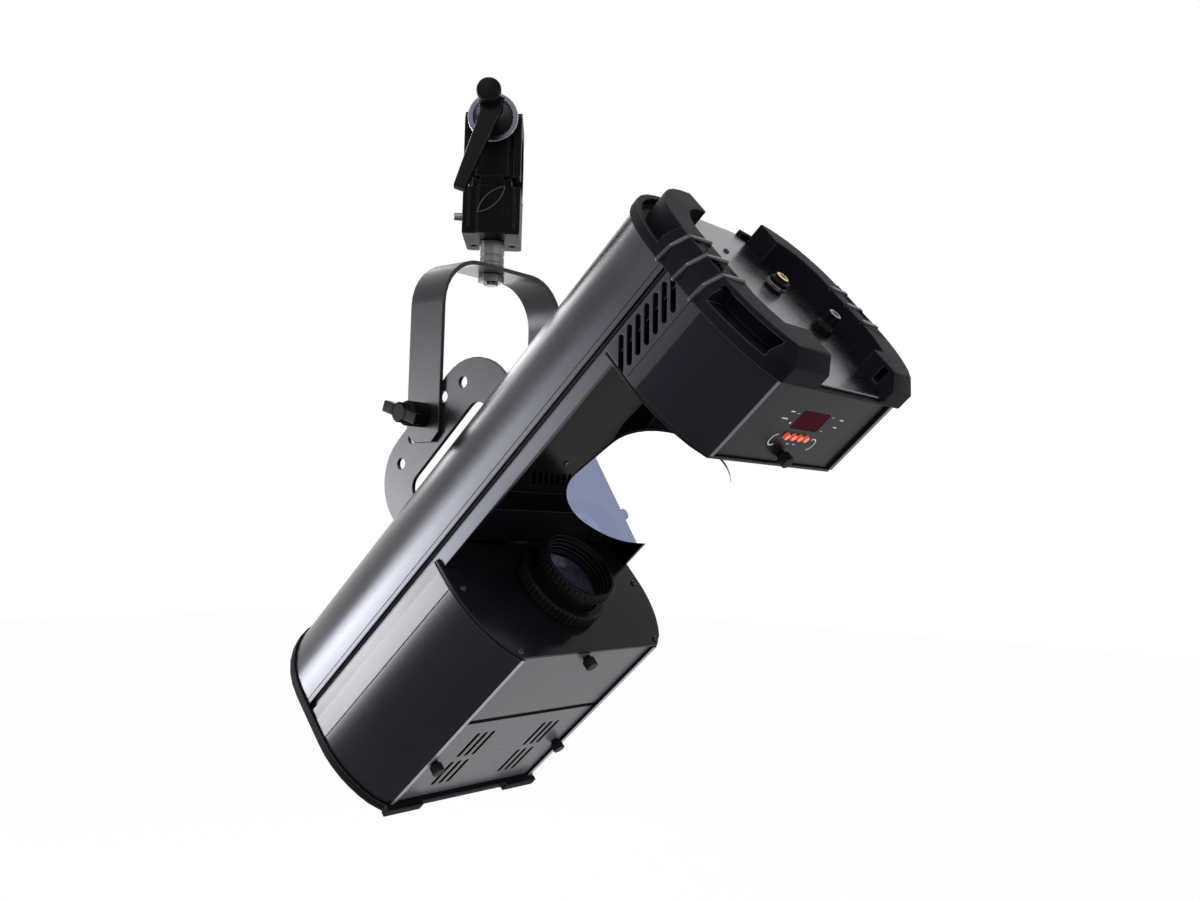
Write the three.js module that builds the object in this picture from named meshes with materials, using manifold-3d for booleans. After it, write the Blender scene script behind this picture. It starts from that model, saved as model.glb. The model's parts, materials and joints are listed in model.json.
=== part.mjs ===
// Mirror scanner light for a stage truss, hung from a tube clamp by a flat steel yoke.
// Lengths are millimetres and angles are degrees. +Z is up, +X runs along the tilt pivots,
// and the origin is the axis of the truss tube that the clamp holds.
// The fixture is drawn straight in its own frame: +Y towards the mirror head, +Z towards the yoke,
// with the centre line of the two pivot discs at zero.
import * as THREE from 'three';
import { mergeVertices } from 'three/addons/utils/BufferGeometryUtils.js';
import Module from 'manifold-3d';

const wasm = await Module();
wasm.setup();

// Clearances and cuts
const seatGap = 0.3;
const runningGap = 0.6;
const overrun = 4;

// How the hung fixture stands at rest
const clampTurn = -48.5;
const tiltRest = 42.3;
const mirrorPanRest = 37;
const mirrorTiltRest = 19.3;

// Truss clamp
const tubeRadius = 25;
const tubeClearance = 0.4;
const clampWidth = 47;
const clampWall = 8;
const clampWebWidth = 26;
const clampWebProud = 3;
const clampBlockWidth = 47.5;
const clampBlockFront = 28;
const clampBlockBack = 32.5;
const clampBlockCorner = 4;
const clampPlugRadius = 2.7;
const clampPlugAcross = 16.5;
const clampPlugBack = 15;
const clampPlugDepth = 8;
const clampBlockHeight = 40;
const clampBlockDrop = 24;
const clampTopHeight = 38;
const clampSplit = 1.5;
const clampWallAngle = 30;
const clampNeckAngle = 40;
const clampFlange = 6;
const clampFlangeProud = 4;
const jawGap = 6.6;
const jawPinRadius = 3;
const jawKnuckleRadius = 5.5;
const jawKnuckleWidth = 20;
const jawKnuckleEar = 6;
const swingBoltRadius = 4;
const swingBoltHeight = 29;
const swingBoltPivotBack = 22;
const swingEyeRadius = 6.5;
const swingPinRadius = 2.5;
const swingSlotWidth = 10;
const leverStandOff = 6;
const leverWasherRadius = 20.6;
const leverWasherThickness = 3;
const leverSkirtRadius = 17;
const leverHubRadius = 10;
const leverHubLength = 24;
const leverArmLength = 77;
const leverArmTop = 7;
const leverArmWidth = 15;
const leverArmTipWidth = 10;
const leverArmThickness = 8;
const leverArmAngle = 18;
const leverArmRake = 8;
const lockScrewRadius = 3.3;
const lockScrewProud = 9;
const lockScrewDrop = 43.4;

// Hanging spigot and nut
const spigotRadius = 8;
const spigotDepth = 26;
const collarRadius = 10.5;
const collarLength = 24.4;
const collarGrooveDepth = 0.8;
const collarGrooveWidth = 1.6;
const studRadius = 6;
const nutAcrossFlats = 19;
const nutHeight = 6.5;
const studTail = 2.5;

// Yoke strap
const yokeInnerWidth = 135;
const yokeThickness = 3.5;
const yokeWidth = 37;
const yokeHeight = 128.8;
const yokeBendRadius = 40;
const yokeFoot = 21.5;
const yokeFootCut = 8;

// Tilt knobs
const knobScrewRadius = 4;
const knobHubRadius = 8;
const knobNeckRadius = 10;
const knobNeckLength = 17;
const knobLength = 25;
const knobWingSpan = 40;
const knobWingWidth = 9;
const knobWingThickness = 7;
const knobWingAngle = 18;
const knobScrewTail = 7;

// Pivot ears on the spine
const earThickness = 3.5;
const earAlong = -3.5;
const earTop = 82.8;
const earHalfLength = 81.8;
const earCorner = 44;
const pivotRise = 74.5;
const earHoleCircle = 120;
const earHoleRadius = 4.6;
const earHoleAngle = 11.3;
const earHoleCount = 5;
const earSlotLength = 102;
const earSlotTop = 45.3;
const earSlotCorner = 11;
const earFootDepth = 8;
const earFlange = 14;

// Body section shared by the spine, both housings and the end caps
const bodyHalfWidth = 110;
const backHeight = 38;
const backCornerRadius = 69;
const lipDepth = 44;
const sideTopDepth = 50;
const tongueDepth = 58;
const sideStraightDepth = 76;
const barrelRadius = 91;
const barrelSweep = 38.461;
const rimRise = 9.4;
const rimInset = 30;
const rimWidth = 4.5;
const coverRecess = 2.5;
const ledgeWidth = 9.5;
const shellWall = 3;

// Stations along the body, from the pivot disc centre
const lampEnd = -216;
const lensPlateBack = -34;
const lensPlateThickness = 2.5;
const headFront = 173.6;
const headPlateThickness = 2.5;
const headEnd = 243;
const coverSplit = -113.5;
const coverSplitGap = 1.4;

// Sheet metal inside and between the housings
const sheet = 2;
const trayHighDepth = 32;
const trayLowDepth = 12;
const trayStep = 4;
const plateInset = 0.8;
const trayLouvreCount = 7;
const trayLouvreLength = 16;
const trayLouvreWidth = 3;
const trayLouvrePitch = 7;
const trayLouvreSlant = 40;

// Vent cover and its thumbscrews
const ventSlotWidth = 3.6;
const ventSlotLength = 32;
const ventSlotPitch = 8.2;
const ventSlotColumn = 37.5;
const ventRowA = -147.5;
const ventRowB = -185.5;
const ventSlotCount = 3;
const thumbRadius = 5;
const thumbHeight = 7;
const thumbKnurlDepth = 0.5;
const thumbKnurlCount = 14;
const thumbNeckRadius = 3.4;
const thumbNeckHeight = 2.5;
const thumbScrewRadius = 1.8;
const thumbScrewLength = 6;
const lugHalfWidth = 6;
const ventThumbAlong = -165;
const ventThumbInset = 6.2;
const lampThumbAlong = -42;
const headThumbAlong = 184;

// Lens
const lensAxisDepth = 82;
const focusRingRadius = 38.2;
const focusRingHeight = 10.4;
const focusToothCount = 24;
const focusToothDepth = 1.6;
const barrelOuterRadius = 29;
const barrelWall = 2.4;
const barrelProud = 20;
const barrelFrontRadius = 33.2;
const barrelFrontLength = 8;
const barrelNeckRadius = 30.6;
const barrelNeckLength = 4;
const barrelBack = 34;
const frontToothCount = 20;
const frontToothDepth = 1.1;
const lensThickness = 7;
const lensRecess = 15;
const lensSeatDepth = 1.6;

// Mirror, its motors and bracket
const panAxisDepth = 65.7;
const tiltAxisAlong = 106;
const mirrorHalfWidth = 46.8;
const mirrorHalfLength = 65.6;
const mirrorCorner = 42.7;
const mirrorThickness = 3;
const mirrorOffset = 35.8;
const mirrorBackSize = 60;
const mirrorBackThickness = 2;
const mirrorEarThickness = 3;
const mirrorEarWidth = 18;
const mirrorEarOff = 7;
const motorShaftRadius = 2.5;
const tiltMotorRadius = 17.5;
const tiltMotorLength = 22;
const tiltMotorOff = 2;
const panMotorSize = 42;
const panMotorLength = 34;
const panMotorCorner = 5;
const bracketDiscRadius = 21;
const bracketDiscThickness = 3;
const bracketHubRadius = 8;
const bracketHubLength = 8;
const bracketCheekHalfWidth = 20;
const bracketCheekReach = 19;
const bracketCheekTopShare = 0.6;

// Lamp compartment and effects
const shieldAlong = -100;
const apertureRadius = 18;
const reflectorRadius = 25;
const reflectorDepth = 24;
const reflectorNeckRadius = 9;
const reflectorWall = 1.6;
const burnerRadius = 5;
const burnerLength = 22;
const lampBaseWidth = 26;
const lampBaseHeight = 18;
const lampBaseLength = 14;
const lampStirrupGap = 6;
const wheelRim = 10;
const wheelWallGap = 13;
const wheelThickness = 1.6;
const wheelHoleRadius = 8.5;
const wheelHoleCount = 8;
const gobosAlong = -76;
const coloursAlong = -82;
const wheelMotorGap = 1;
const wheelShaftRadius = 2.5;
const wheelHubRadius = 6;
const wheelHubLength = 2;
const fanSize = 80;
const fanDepth = 25;
const fanBore = 37.5;
const fanHubRadius = 17;
const fanBladeCount = 7;
const fanBladeThickness = 2;
const fanBladePitch = 38;
const fanChordShare = 0.9;
const fanPinRadius = 3;
const fanStrutWidth = 6;
const transformerLength = 84;
const transformerWidth = 70;
const transformerHeight = 38;
const transformerAlong = 58;
const transformerCoilShare = 0.6;

// Display panel
const windowWidth = 36;
const windowHeight = 16.4;
const windowAlong = 215;
const windowCorner = 2;
const windowThickness = 3;
const buttonRadius = 2.9;
const buttonPitch = 8.5;
const buttonAlong = 200;
const buttonProud = 1.6;
const buttonTravel = 1.2;
const buttonCount = 4;
const buttonStemRadius = 1.8;
const buttonFlange = 0.8;
const boardThickness = 1.6;
const boardInset = 15.2;
const boardLength = 44;
const boardStandOff = 6;
const boardPostRadius = 2.5;

// Head side louvres
const louvreCount = 7;
const louvrePitch = 9.05;
const louvreWidth = 4.2;
const louvreFirst = 190.5;
const louvreTopDepth = 53;
const louvreBottomDepth = 70;
const louvreLean = 15;

// End caps
const capProud = 3;
const capEdge = 3.5;
const headRingHeight = 2;
const headCollarHeight = 8;
const headWallHeight = 23;
const headWallOuter = 9;
const headWallInner = 30;
const headWallChamfer = 10;
const headWallEndRight = 38;
const headWallEndLeft = 54;
const hornGrooveBottom = -30;
const ribPitch = 18.8;
const ribFirstDepth = 40;
const ribCount = 3;
const ribWidth = 2.6;
const ribProud = 2.2;
const ribRamp = 11;
const ribPocketWidth = 6;
const ribPocketLength = 9;
const ribPocketDepth = 5;
const capPocketTop = 86;
const capPocketBottom = 131;
const capPocketInset = 16;
const capPocketRoof = 3;
const capBossRadius = 6.5;
const capBossAcross = 69;
const capBossDepth = 123;
const lampCapProud = 2;
const lampCapDepth = 10;
const lampCapRound = 5;
const lampCapWall = 3;
const grilleSlotWidth = 3.6;
const grillePitch = 7.4;
const lampFootOuter = 84;
const lampFootInner = 47;
const lampFootProud = 3;

// Connector plate
const fuseInset = 82;
const fuseDepth = 33;
const fuseRadius = 7.5;
const fuseProud = 11;
const glandInset = 62;
const glandDepth = 74;
const glandRadius = 8;
const glandNeckRadius = 5.5;
const glandProud = 16;
const glandBoreRadius = 2;
const glandBoreDepth = 6;
const socketRadius = 12;
const socketFlange = 15;
const socketInset = 68;
const socketInDepth = 12;
const socketOutDepth = 60;
const socketLength = 20;
const socketProud = 2;
const socketRecess = 3;

const group = new THREE.Group();
group.name = 'scanner_light';

function finish(color, roughness, metalness) {
  return new THREE.MeshStandardMaterial({ color, roughness, metalness });
}
const anodised = () => finish(0x17181d, 0.32, 0.6);
const blackSheet = () => finish(0x1d1d21, 0.5, 0.4);
const coverPaint = () => finish(0x505054, 0.55, 0.3);
const capPlastic = () => finish(0x2b2b30, 0.7, 0);
const blackPlastic = () => finish(0x0b0b0d, 0.45, 0);
const blackSteel = () => finish(0x141416, 0.45, 0.5);
const casting = () => finish(0x0c0c0e, 0.4, 0.4);
const brightSteel = () => finish(0xc4c4c8, 0.25, 1);
const zincPlate = () => finish(0xb7b9bf, 0.4, 0.8);
const glass = () => finish(0x9fb0c4, 0.05, 0.1);
const mirrorCoat = () => finish(0xe8edf2, 0.03, 1);
const windowRed = () => finish(0x3a0a12, 0.2, 0);
const buttonRed = () => finish(0xe2553c, 0.4, 0);
const boardGreen = () => finish(0x1d5a33, 0.6, 0);
const ceramic = () => finish(0xe6dfd0, 0.7, 0);

const rad = THREE.MathUtils.degToRad;

function addMesh(parent, name, geometry, material) {
  const mesh = new THREE.Mesh(geometry, material);
  mesh.name = name;
  parent.add(mesh);
  return mesh;
}

// A closed geometry as a solid, and a solid as a geometry
function solidOf(geometry) {
  const bare = geometry.clone();
  bare.deleteAttribute('normal');
  bare.deleteAttribute('uv');
  const merged = mergeVertices(bare, 1e-4);
  const vertProperties = new Float32Array(merged.attributes.position.array);
  const triVerts = new Uint32Array(merged.index.array);
  return new wasm.Manifold(new wasm.Mesh({ numProp: 3, vertProperties, triVerts }));
}

function geometryOf(solid) {
  const mesh = solid.getMesh();
  const geometry = new THREE.BufferGeometry();
  geometry.setAttribute('position', new THREE.BufferAttribute(new Float32Array(mesh.vertProperties), 3));
  geometry.setIndex(new THREE.BufferAttribute(new Uint32Array(mesh.triVerts), 1));
  return geometry;
}

function join(first, ...others) {
  return geometryOf(others.reduce((solid, other) => solid.add(solidOf(other)), solidOf(first)));
}

function cut(first, ...others) {
  return geometryOf(others.reduce((solid, other) => solid.subtract(solidOf(other)), solidOf(first)));
}

function common(first, other) {
  return geometryOf(solidOf(first).intersect(solidOf(other)));
}

// A box between two corners
function block(x0, x1, y0, y1, z0, z1) {
  const box = new THREE.BoxGeometry(x1 - x0, y1 - y0, z1 - z0);
  return box.translate((x0 + x1) / 2, (y0 + y1) / 2, (z0 + z1) / 2);
}

// A cylinder between two stations along one axis, through a point across it
function rod(axis, radius, from, to, a = 0, b = 0, sides = 24) {
  const shape = new THREE.CylinderGeometry(radius, radius, to - from, sides);
  const middle = (from + to) / 2;
  if (axis === 'x') return shape.rotateZ(-Math.PI / 2).translate(middle, a, b);
  if (axis === 'y') return shape.translate(a, middle, b);
  return shape.rotateX(Math.PI / 2).translate(a, b, middle);
}

// An outline with holes, carried up by a depth; an anticlockwise outline lets the holes turn the right way
function extrude(points, holes, depth) {
  const outline = THREE.ShapeUtils.isClockWise(points) ? [...points].reverse() : points;
  const shape = new THREE.Shape(outline);
  holes.forEach((hole) => shape.holes.push(new THREE.Path(hole)));
  return new THREE.ExtrudeGeometry(shape, { depth, bevelEnabled: false });
}

// An outline in X and Z, carried along Y
function extrudeAlong(points, from, to, holes = []) {
  return extrude(points, holes, to - from).rotateX(Math.PI / 2).translate(0, to, 0);
}

// An outline in Y and Z, carried along X
function extrudeAcross(points, from, to, holes = []) {
  return extrude(points, holes, to - from).rotateY(Math.PI / 2).rotateX(Math.PI / 2).translate(from, 0, 0);
}

// An outline in X and Y, carried along Z
function extrudeUp(points, from, to, holes = []) {
  return extrude(points, holes, to - from).translate(0, 0, from);
}

// A turned profile of [radius, station] pairs round Y
function turned(profile, sides = 32) {
  return new THREE.LatheGeometry(profile.map(([r, y]) => new THREE.Vector2(r, y)), sides);
}

const point = (x, y) => new THREE.Vector2(x, y);

function arcPoints(cx, cy, radius, start, end, steps) {
  const list = [];
  for (let i = 0; i <= steps; i += 1) {
    const angle = rad(start + ((end - start) * i) / steps);
    list.push(point(cx + radius * Math.cos(angle), cy + radius * Math.sin(angle)));
  }
  return list;
}

function circlePoints(cx, cy, radius, sides) {
  return arcPoints(cx, cy, radius, 0, 360, sides).slice(0, -1);
}

function roundedBox(x0, x1, y0, y1, radius, steps = 5) {
  return [
    ...arcPoints(x1 - radius, y1 - radius, radius, 0, 90, steps),
    ...arcPoints(x0 + radius, y1 - radius, radius, 90, 180, steps),
    ...arcPoints(x0 + radius, y0 + radius, radius, 180, 270, steps),
    ...arcPoints(x1 - radius, y0 + radius, radius, 270, 360, steps),
  ];
}

function slotPoints(x0, y0, x1, y1, width, steps = 4) {
  const angle = THREE.MathUtils.radToDeg(Math.atan2(y1 - y0, x1 - x0));
  return [
    ...arcPoints(x1, y1, width / 2, angle - 90, angle + 90, steps),
    ...arcPoints(x0, y0, width / 2, angle + 90, angle + 270, steps),
  ];
}

function hexPoints(acrossFlats) {
  return circlePoints(0, 0, acrossFlats / 2 / Math.cos(Math.PI / 6), 6);
}

function gearPoints(radius, toothDepth, count) {
  const list = [];
  const landShare = 0.5;
  for (let i = 0; i < count; i += 1) {
    const start = (360 * i) / count;
    const land = start + (360 / count) * landShare;
    list.push(...arcPoints(0, 0, radius, start, land, 1));
    list.push(...arcPoints(0, 0, radius - toothDepth, land, start + 360 / count, 1));
  }
  return list;
}

const mirrored = (points) => points.map((p) => point(-p.x, p.y)).reverse();

// Body section
const rimHalfWidth = bodyHalfWidth - rimInset;
const barrelCentre = bodyHalfWidth - barrelRadius;
const coverDepth = sideStraightDepth + barrelRadius * Math.sin(rad(barrelSweep)) + rimRise;
const backCorner = bodyHalfWidth - backCornerRadius;

function backArc(grow) {
  return arcPoints(backCorner, backHeight - backCornerRadius, backCornerRadius + grow, 90, 0, 9);
}

// The barrel arc ends at the cover rim, or where an inner copy of it meets its own front line
function barrelArc(grow) {
  const frontAngle = THREE.MathUtils.radToDeg(
    Math.asin((coverDepth + grow - sideStraightDepth) / (barrelRadius + grow)),
  );
  return arcPoints(
    barrelCentre, -sideStraightDepth, barrelRadius + grow, 0, -Math.min(barrelSweep, frontAngle), 6,
  );
}

// The right half of the whole outline, from the flat back down to the cover rim
function halfOutline(grow) {
  return [...backArc(grow), ...barrelArc(grow), point(rimHalfWidth + grow / 2, -coverDepth - grow)];
}

function wholeOutline(grow) {
  const half = halfOutline(grow);
  return [...half, ...mirrored(half)];
}

const wholeTop = (grow) => backHeight + grow;
const coverTop = -coverDepth + coverRecess;
const coverHalfWidth = rimHalfWidth - rimWidth - seatGap;
const ledgeTop = coverTop + sheet + seatGap;
const ventThumbAcross = coverHalfWidth - ventThumbInset;
const boardWidth = 2 * (coverHalfWidth - boardInset);

function sideProfile() {
  const innerRim = rimHalfWidth - rimWidth;
  return [
    point(bodyHalfWidth, -sideTopDepth),
    ...barrelArc(0),
    point(rimHalfWidth, -coverDepth),
    point(innerRim, -coverDepth),
    point(innerRim, ledgeTop),
    point(innerRim - ledgeWidth, ledgeTop),
    point(innerRim - ledgeWidth, ledgeTop + sheet),
    point(innerRim + shellWall, ledgeTop + sheet),
    ...barrelArc(-shellWall).reverse(),
    point(bodyHalfWidth - shellWall, -sideTopDepth),
  ];
}

// Clamp
const clampFrame = new THREE.Group();
clampFrame.rotation.z = rad(clampTurn);
group.add(clampFrame);

const saddle = tubeRadius + tubeClearance;
const clampOuter = saddle + clampWall;
const clampFront = -clampOuter;
const blockTop = -clampBlockDrop;
const blockBottom = blockTop - clampBlockHeight;
const knuckleZ = blockTop + jawGap / 2;
const knuckleY = -clampBlockFront + jawKnuckleRadius / 2;
const jawBottom = blockTop + jawGap;
const boltPivotY = swingBoltPivotBack;
const slotFloor = swingBoltHeight - swingEyeRadius - runningGap;

function clampTube() {
  return rod('x', saddle, -clampWidth, clampWidth, 0, 0, 40);
}

function buildClampBody() {
  const half = clampBlockWidth / 2;
  const turn = clampBlockCorner;
  const footPoints = [
    point(-half, -clampBlockFront), point(half, -clampBlockFront),
    ...arcPoints(half - turn, clampBlockBack - turn, turn, 0, 90, 4),
    ...arcPoints(-half + turn, clampBlockBack - turn, turn, 90, 180, 4),
  ];
  const foot = extrudeUp(footPoints, blockBottom, blockTop);
  const webPoints = [
    point(-clampWebWidth / 2, 0), point(-clampWebWidth / 2, -clampBlockFront),
    point(-clampWebWidth / 2 + clampWebProud, -clampBlockFront - clampWebProud),
    point(clampWebWidth / 2 - clampWebProud, -clampBlockFront - clampWebProud),
    point(clampWebWidth / 2, -clampBlockFront), point(clampWebWidth / 2, 0),
  ];
  const web = extrudeUp(webPoints, blockBottom, blockTop);
  const wallPoints = [
    point(clampSplit / 2, blockTop - clampWall),
    point(clampBlockBack - clampBlockCorner, blockTop - clampWall),
    ...arcPoints(0, 0, clampOuter, -clampWallAngle, clampNeckAngle, 6),
    point(clampOuter * Math.cos(rad(clampNeckAngle)), clampTopHeight),
    point(clampSplit / 2, clampTopHeight),
  ];
  const wall = extrudeAcross(wallPoints, -clampWidth / 2, clampWidth / 2);
  const slotHalf = swingSlotWidth / 2;
  const slot = block(
    -slotHalf, slotHalf, -overrun, clampOuter + overrun, slotFloor, clampTopHeight + overrun,
  );
  const pinBore = rod(
    'x', swingPinRadius + seatGap, -clampWidth, clampWidth, boltPivotY, swingBoltHeight, 16,
  );
  const earHalf = jawKnuckleWidth / 2 + seatGap;
  const ears = [-1, 1].map((side) => {
    const inner = side > 0 ? earHalf : -earHalf - jawKnuckleEar;
    return rod('x', jawKnuckleRadius, inner, inner + jawKnuckleEar, knuckleY, knuckleZ, 20);
  });
  const knuckleRoom = rod(
    'x', jawKnuckleRadius + runningGap, -earHalf, earHalf, knuckleY, knuckleZ, 24,
  );
  const pinEnd = earHalf + jawKnuckleEar / 2;
  const jawPin = rod('x', jawPinRadius, -pinEnd, pinEnd, knuckleY, knuckleZ, 16);
  const spigotBore = rod('z', spigotRadius + seatGap, blockBottom - overrun, blockBottom + spigotDepth);
  const lockBore = rod('x', lockScrewRadius + seatGap, -clampBlockWidth, 0, 0, -lockScrewDrop, 16);
  const plugs = [-1, 1].map((side) => rod(
    'z', clampPlugRadius, blockBottom - overrun, blockBottom + clampPlugDepth, side * clampPlugAcross,
    clampPlugBack, 16,
  ));
  const grooves = [-1, 1].map((side) => {
    const x = side * (clampWebWidth / 2 + clampFlange);
    return block(
      x - clampSplit / 2, x + clampSplit / 2, -clampBlockFront - overrun, -clampBlockFront + clampSplit,
      blockBottom + clampFlange, blockTop + overrun,
    );
  });
  const body = join(foot, web, wall, ...ears);
  const bored = cut(
    body, clampTube(), slot, pinBore, knuckleRoom, spigotBore, lockBore, ...plugs, ...grooves,
  );
  return join(bored, jawPin);
}

function buildClampJaw() {
  const shellPoints = [
    point(-clampSplit / 2, clampTopHeight),
    point(clampFront + clampFlange, clampTopHeight),
    point(clampFront, clampTopHeight - clampFlange),
    point(clampFront, jawBottom),
    point(-clampSplit / 2, jawBottom),
  ];
  const shell = extrudeAcross(shellPoints, -clampWidth / 2, clampWidth / 2);
  const slotHalf = swingSlotWidth / 2;
  const slot = block(
    -slotHalf, slotHalf, clampFront - overrun, overrun, slotFloor, clampTopHeight + overrun,
  );
  const pocketHalf = clampWidth / 2 - clampFlange;
  const pockets = [-1, 1].map((side) => {
    const inner = side * (clampWebWidth / 2);
    const outer = side * pocketHalf;
    return block(
      Math.min(inner, outer), Math.max(inner, outer),
      clampFront - overrun, clampFront + clampFlangeProud, jawBottom - overrun, clampTopHeight + overrun,
    );
  });
  const knuckle = rod(
    'x', jawKnuckleRadius, -jawKnuckleWidth / 2, jawKnuckleWidth / 2, knuckleY, knuckleZ, 20,
  );
  const neck = block(
    -jawKnuckleWidth / 2, jawKnuckleWidth / 2, knuckleY - jawKnuckleRadius, knuckleY + jawKnuckleRadius,
    knuckleZ, jawBottom + clampWall / 2,
  );
  const bore = rod('x', jawPinRadius + seatGap, -clampWidth, clampWidth, knuckleY, knuckleZ, 16);
  const earHalf = jawKnuckleWidth / 2;
  const earRoom = [-1, 1].map((side) => {
    const inner = side > 0 ? earHalf : -earHalf - jawKnuckleEar - 2 * seatGap;
    return rod(
      'x', jawKnuckleRadius + runningGap, inner, inner + jawKnuckleEar + 2 * seatGap, knuckleY, knuckleZ, 24,
    );
  });
  const trimmed = cut(shell, clampTube(), slot, ...pockets, ...earRoom);
  return cut(join(trimmed, knuckle, neck), bore);
}

function buildSwingBolt() {
  const reach = clampFront - leverStandOff - leverWasherThickness - leverHubLength / 2;
  const shank = rod('y', swingBoltRadius, reach, boltPivotY, 0, swingBoltHeight, 20);
  const eyeHalf = swingSlotWidth / 2 - runningGap;
  const eye = rod('x', swingEyeRadius, -eyeHalf, eyeHalf, boltPivotY, swingBoltHeight, 24);
  const trunnion = rod(
    'x', swingPinRadius, -clampWebWidth / 2, clampWebWidth / 2, boltPivotY, swingBoltHeight, 16,
  );
  return join(shank, eye, trunnion);
}

// The lever nut turns on the swing bolt and its washer plate faces the jaw
function buildClampLever() {
  const hubBack = -runningGap;
  const hubFront = -leverHubLength;
  const hub = turned([
    [0, hubFront], [leverHubRadius - 2 * runningGap, hubFront], [leverHubRadius, hubFront + 2 * runningGap],
    [leverHubRadius, hubFront / 2], [leverSkirtRadius, hubBack], [0, hubBack],
  ]);
  const armPoints = [
    point(-leverArmWidth / 2, leverArmTop),
    point(-leverArmTipWidth / 2, -leverArmLength),
    point(leverArmTipWidth / 2, -leverArmLength),
    point(leverArmWidth / 2, leverArmTop),
  ];
  const arm = extrudeAlong(armPoints, hubFront, hubFront + leverArmThickness);
  arm.rotateX(rad(-leverArmRake)).rotateY(rad(leverArmAngle));
  const bore = rod('y', swingBoltRadius + seatGap, hubFront / 2, overrun, 0, 0, 20);
  return cut(join(hub, arm), bore);
}

function buildLeverWasher() {
  const inner = swingBoltRadius + seatGap;
  return turned([
    [inner, 0], [leverWasherRadius, 0], [leverWasherRadius, leverWasherThickness - seatGap],
    [inner, leverWasherThickness - seatGap], [inner, 0],
  ], 28);
}

function buildHangingBolt() {
  const top = blockBottom + spigotDepth - runningGap;
  const collarTop = blockBottom - seatGap;
  const collarBottom = collarTop - collarLength;
  const tail = collarBottom - seatGap - yokeThickness - seatGap - nutHeight - studTail;
  const grooveTop = collarTop - collarLength / 2;
  const grooveBottom = grooveTop - collarGrooveWidth;
  const profile = [
    [0, tail], [studRadius, tail], [studRadius, collarBottom], [collarRadius, collarBottom],
    [collarRadius, grooveBottom], [collarRadius - collarGrooveDepth, grooveBottom],
    [collarRadius - collarGrooveDepth, grooveTop], [collarRadius, grooveTop], [collarRadius, collarTop],
    [spigotRadius, collarTop], [spigotRadius, top], [0, top],
  ];
  return turned(profile, 20).rotateX(Math.PI / 2);
}

addMesh(clampFrame, 'clamp_body', buildClampBody(), casting());
addMesh(clampFrame, 'clamp_jaw', buildClampJaw(), casting());
addMesh(clampFrame, 'swing_bolt', buildSwingBolt(), brightSteel());
const leverFrame = new THREE.Group();
leverFrame.position.set(0, clampFront - leverStandOff - leverWasherThickness, swingBoltHeight);
clampFrame.add(leverFrame);
addMesh(leverFrame, 'clamp_lever', buildClampLever(), blackPlastic());
addMesh(leverFrame, 'lever_washer', buildLeverWasher(), zincPlate());
addMesh(clampFrame, 'hanging_bolt', buildHangingBolt(), brightSteel());
addMesh(
  clampFrame, 'clamp_lock_screw',
  rod(
    'x', lockScrewRadius, -clampBlockWidth / 2 - lockScrewProud, -spigotRadius - seatGap,
    0, -lockScrewDrop, 16,
  ),
  brightSteel(),
);

// Yoke
const strapTop = blockBottom - seatGap - collarLength - seatGap;
const pivotHeight = strapTop - yokeHeight;
const yokeHalf = yokeInnerWidth / 2;
const yokeOuterHalf = yokeHalf + yokeThickness;

const pivotFrame = new THREE.Group();
pivotFrame.position.set(0, 0, pivotHeight);
group.add(pivotFrame);

function buildYoke() {
  const inner = yokeBendRadius - yokeThickness;
  const bendX = yokeOuterHalf - yokeBendRadius;
  const bendZ = yokeHeight - yokeBendRadius;
  const outerRight = [point(yokeOuterHalf, -yokeFoot), ...arcPoints(bendX, bendZ, yokeBendRadius, 0, 90, 8)];
  const innerRight = [point(yokeHalf, -yokeFoot), ...arcPoints(bendX, bendZ, inner, 0, 90, 8)];
  const outerLine = [...outerRight, ...mirrored(outerRight)];
  const innerLine = [...mirrored(innerRight).reverse(), ...innerRight.reverse()];
  const strap = extrudeAlong([...outerLine, ...innerLine], -yokeWidth / 2, yokeWidth / 2);
  const corners = [-1, 1].map((side) => {
    const edge = (side * yokeWidth) / 2;
    const tri = [
      point(edge, -yokeFoot + yokeFootCut), point(edge - side * yokeFootCut, -yokeFoot),
      point(edge - side * yokeFootCut, -yokeFoot - overrun),
      point(edge + side * overrun, -yokeFoot - overrun),
      point(edge + side * overrun, -yokeFoot + yokeFootCut),
    ];
    return extrudeAcross(side > 0 ? tri : tri.reverse(), -yokeOuterHalf - overrun, yokeOuterHalf + overrun);
  });
  const pivotBore = rod(
    'x', knobScrewRadius + seatGap, -yokeOuterHalf - overrun, yokeOuterHalf + overrun, 0, 0, 20,
  );
  const studBore = rod('z', studRadius + seatGap, bendZ, yokeHeight + overrun, 0, 0, 24);
  return cut(strap, ...corners, pivotBore, studBore);
}

// A moulded T knob with its clamping screw, for the side that x points to
function buildKnob(side) {
  const start = yokeOuterHalf + seatGap;
  const profile = [
    [0, start], [knobNeckRadius, start], [knobNeckRadius, start + knobNeckLength],
    [knobHubRadius, start + knobNeckLength + seatGap], [knobHubRadius, start + knobLength - runningGap],
    [knobHubRadius - runningGap, start + knobLength], [0, start + knobLength],
  ];
  const hub = turned(profile, 20).rotateZ(-Math.PI / 2);
  const wings = block(
    start + knobLength - knobWingThickness - runningGap, start + knobLength - runningGap,
    -knobWingSpan / 2, knobWingSpan / 2, -knobWingWidth / 2, knobWingWidth / 2,
  ).rotateX(rad(side * knobWingAngle));
  const screwEnd = yokeHalf - earThickness - 2 * seatGap - knobScrewTail;
  const screw = rod('x', knobScrewRadius, screwEnd, start + knobNeckLength / 2, 0, 0, 20);
  const knob = join(hub, wings, screw);
  return side > 0 ? knob : knob.rotateZ(Math.PI);
}

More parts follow.
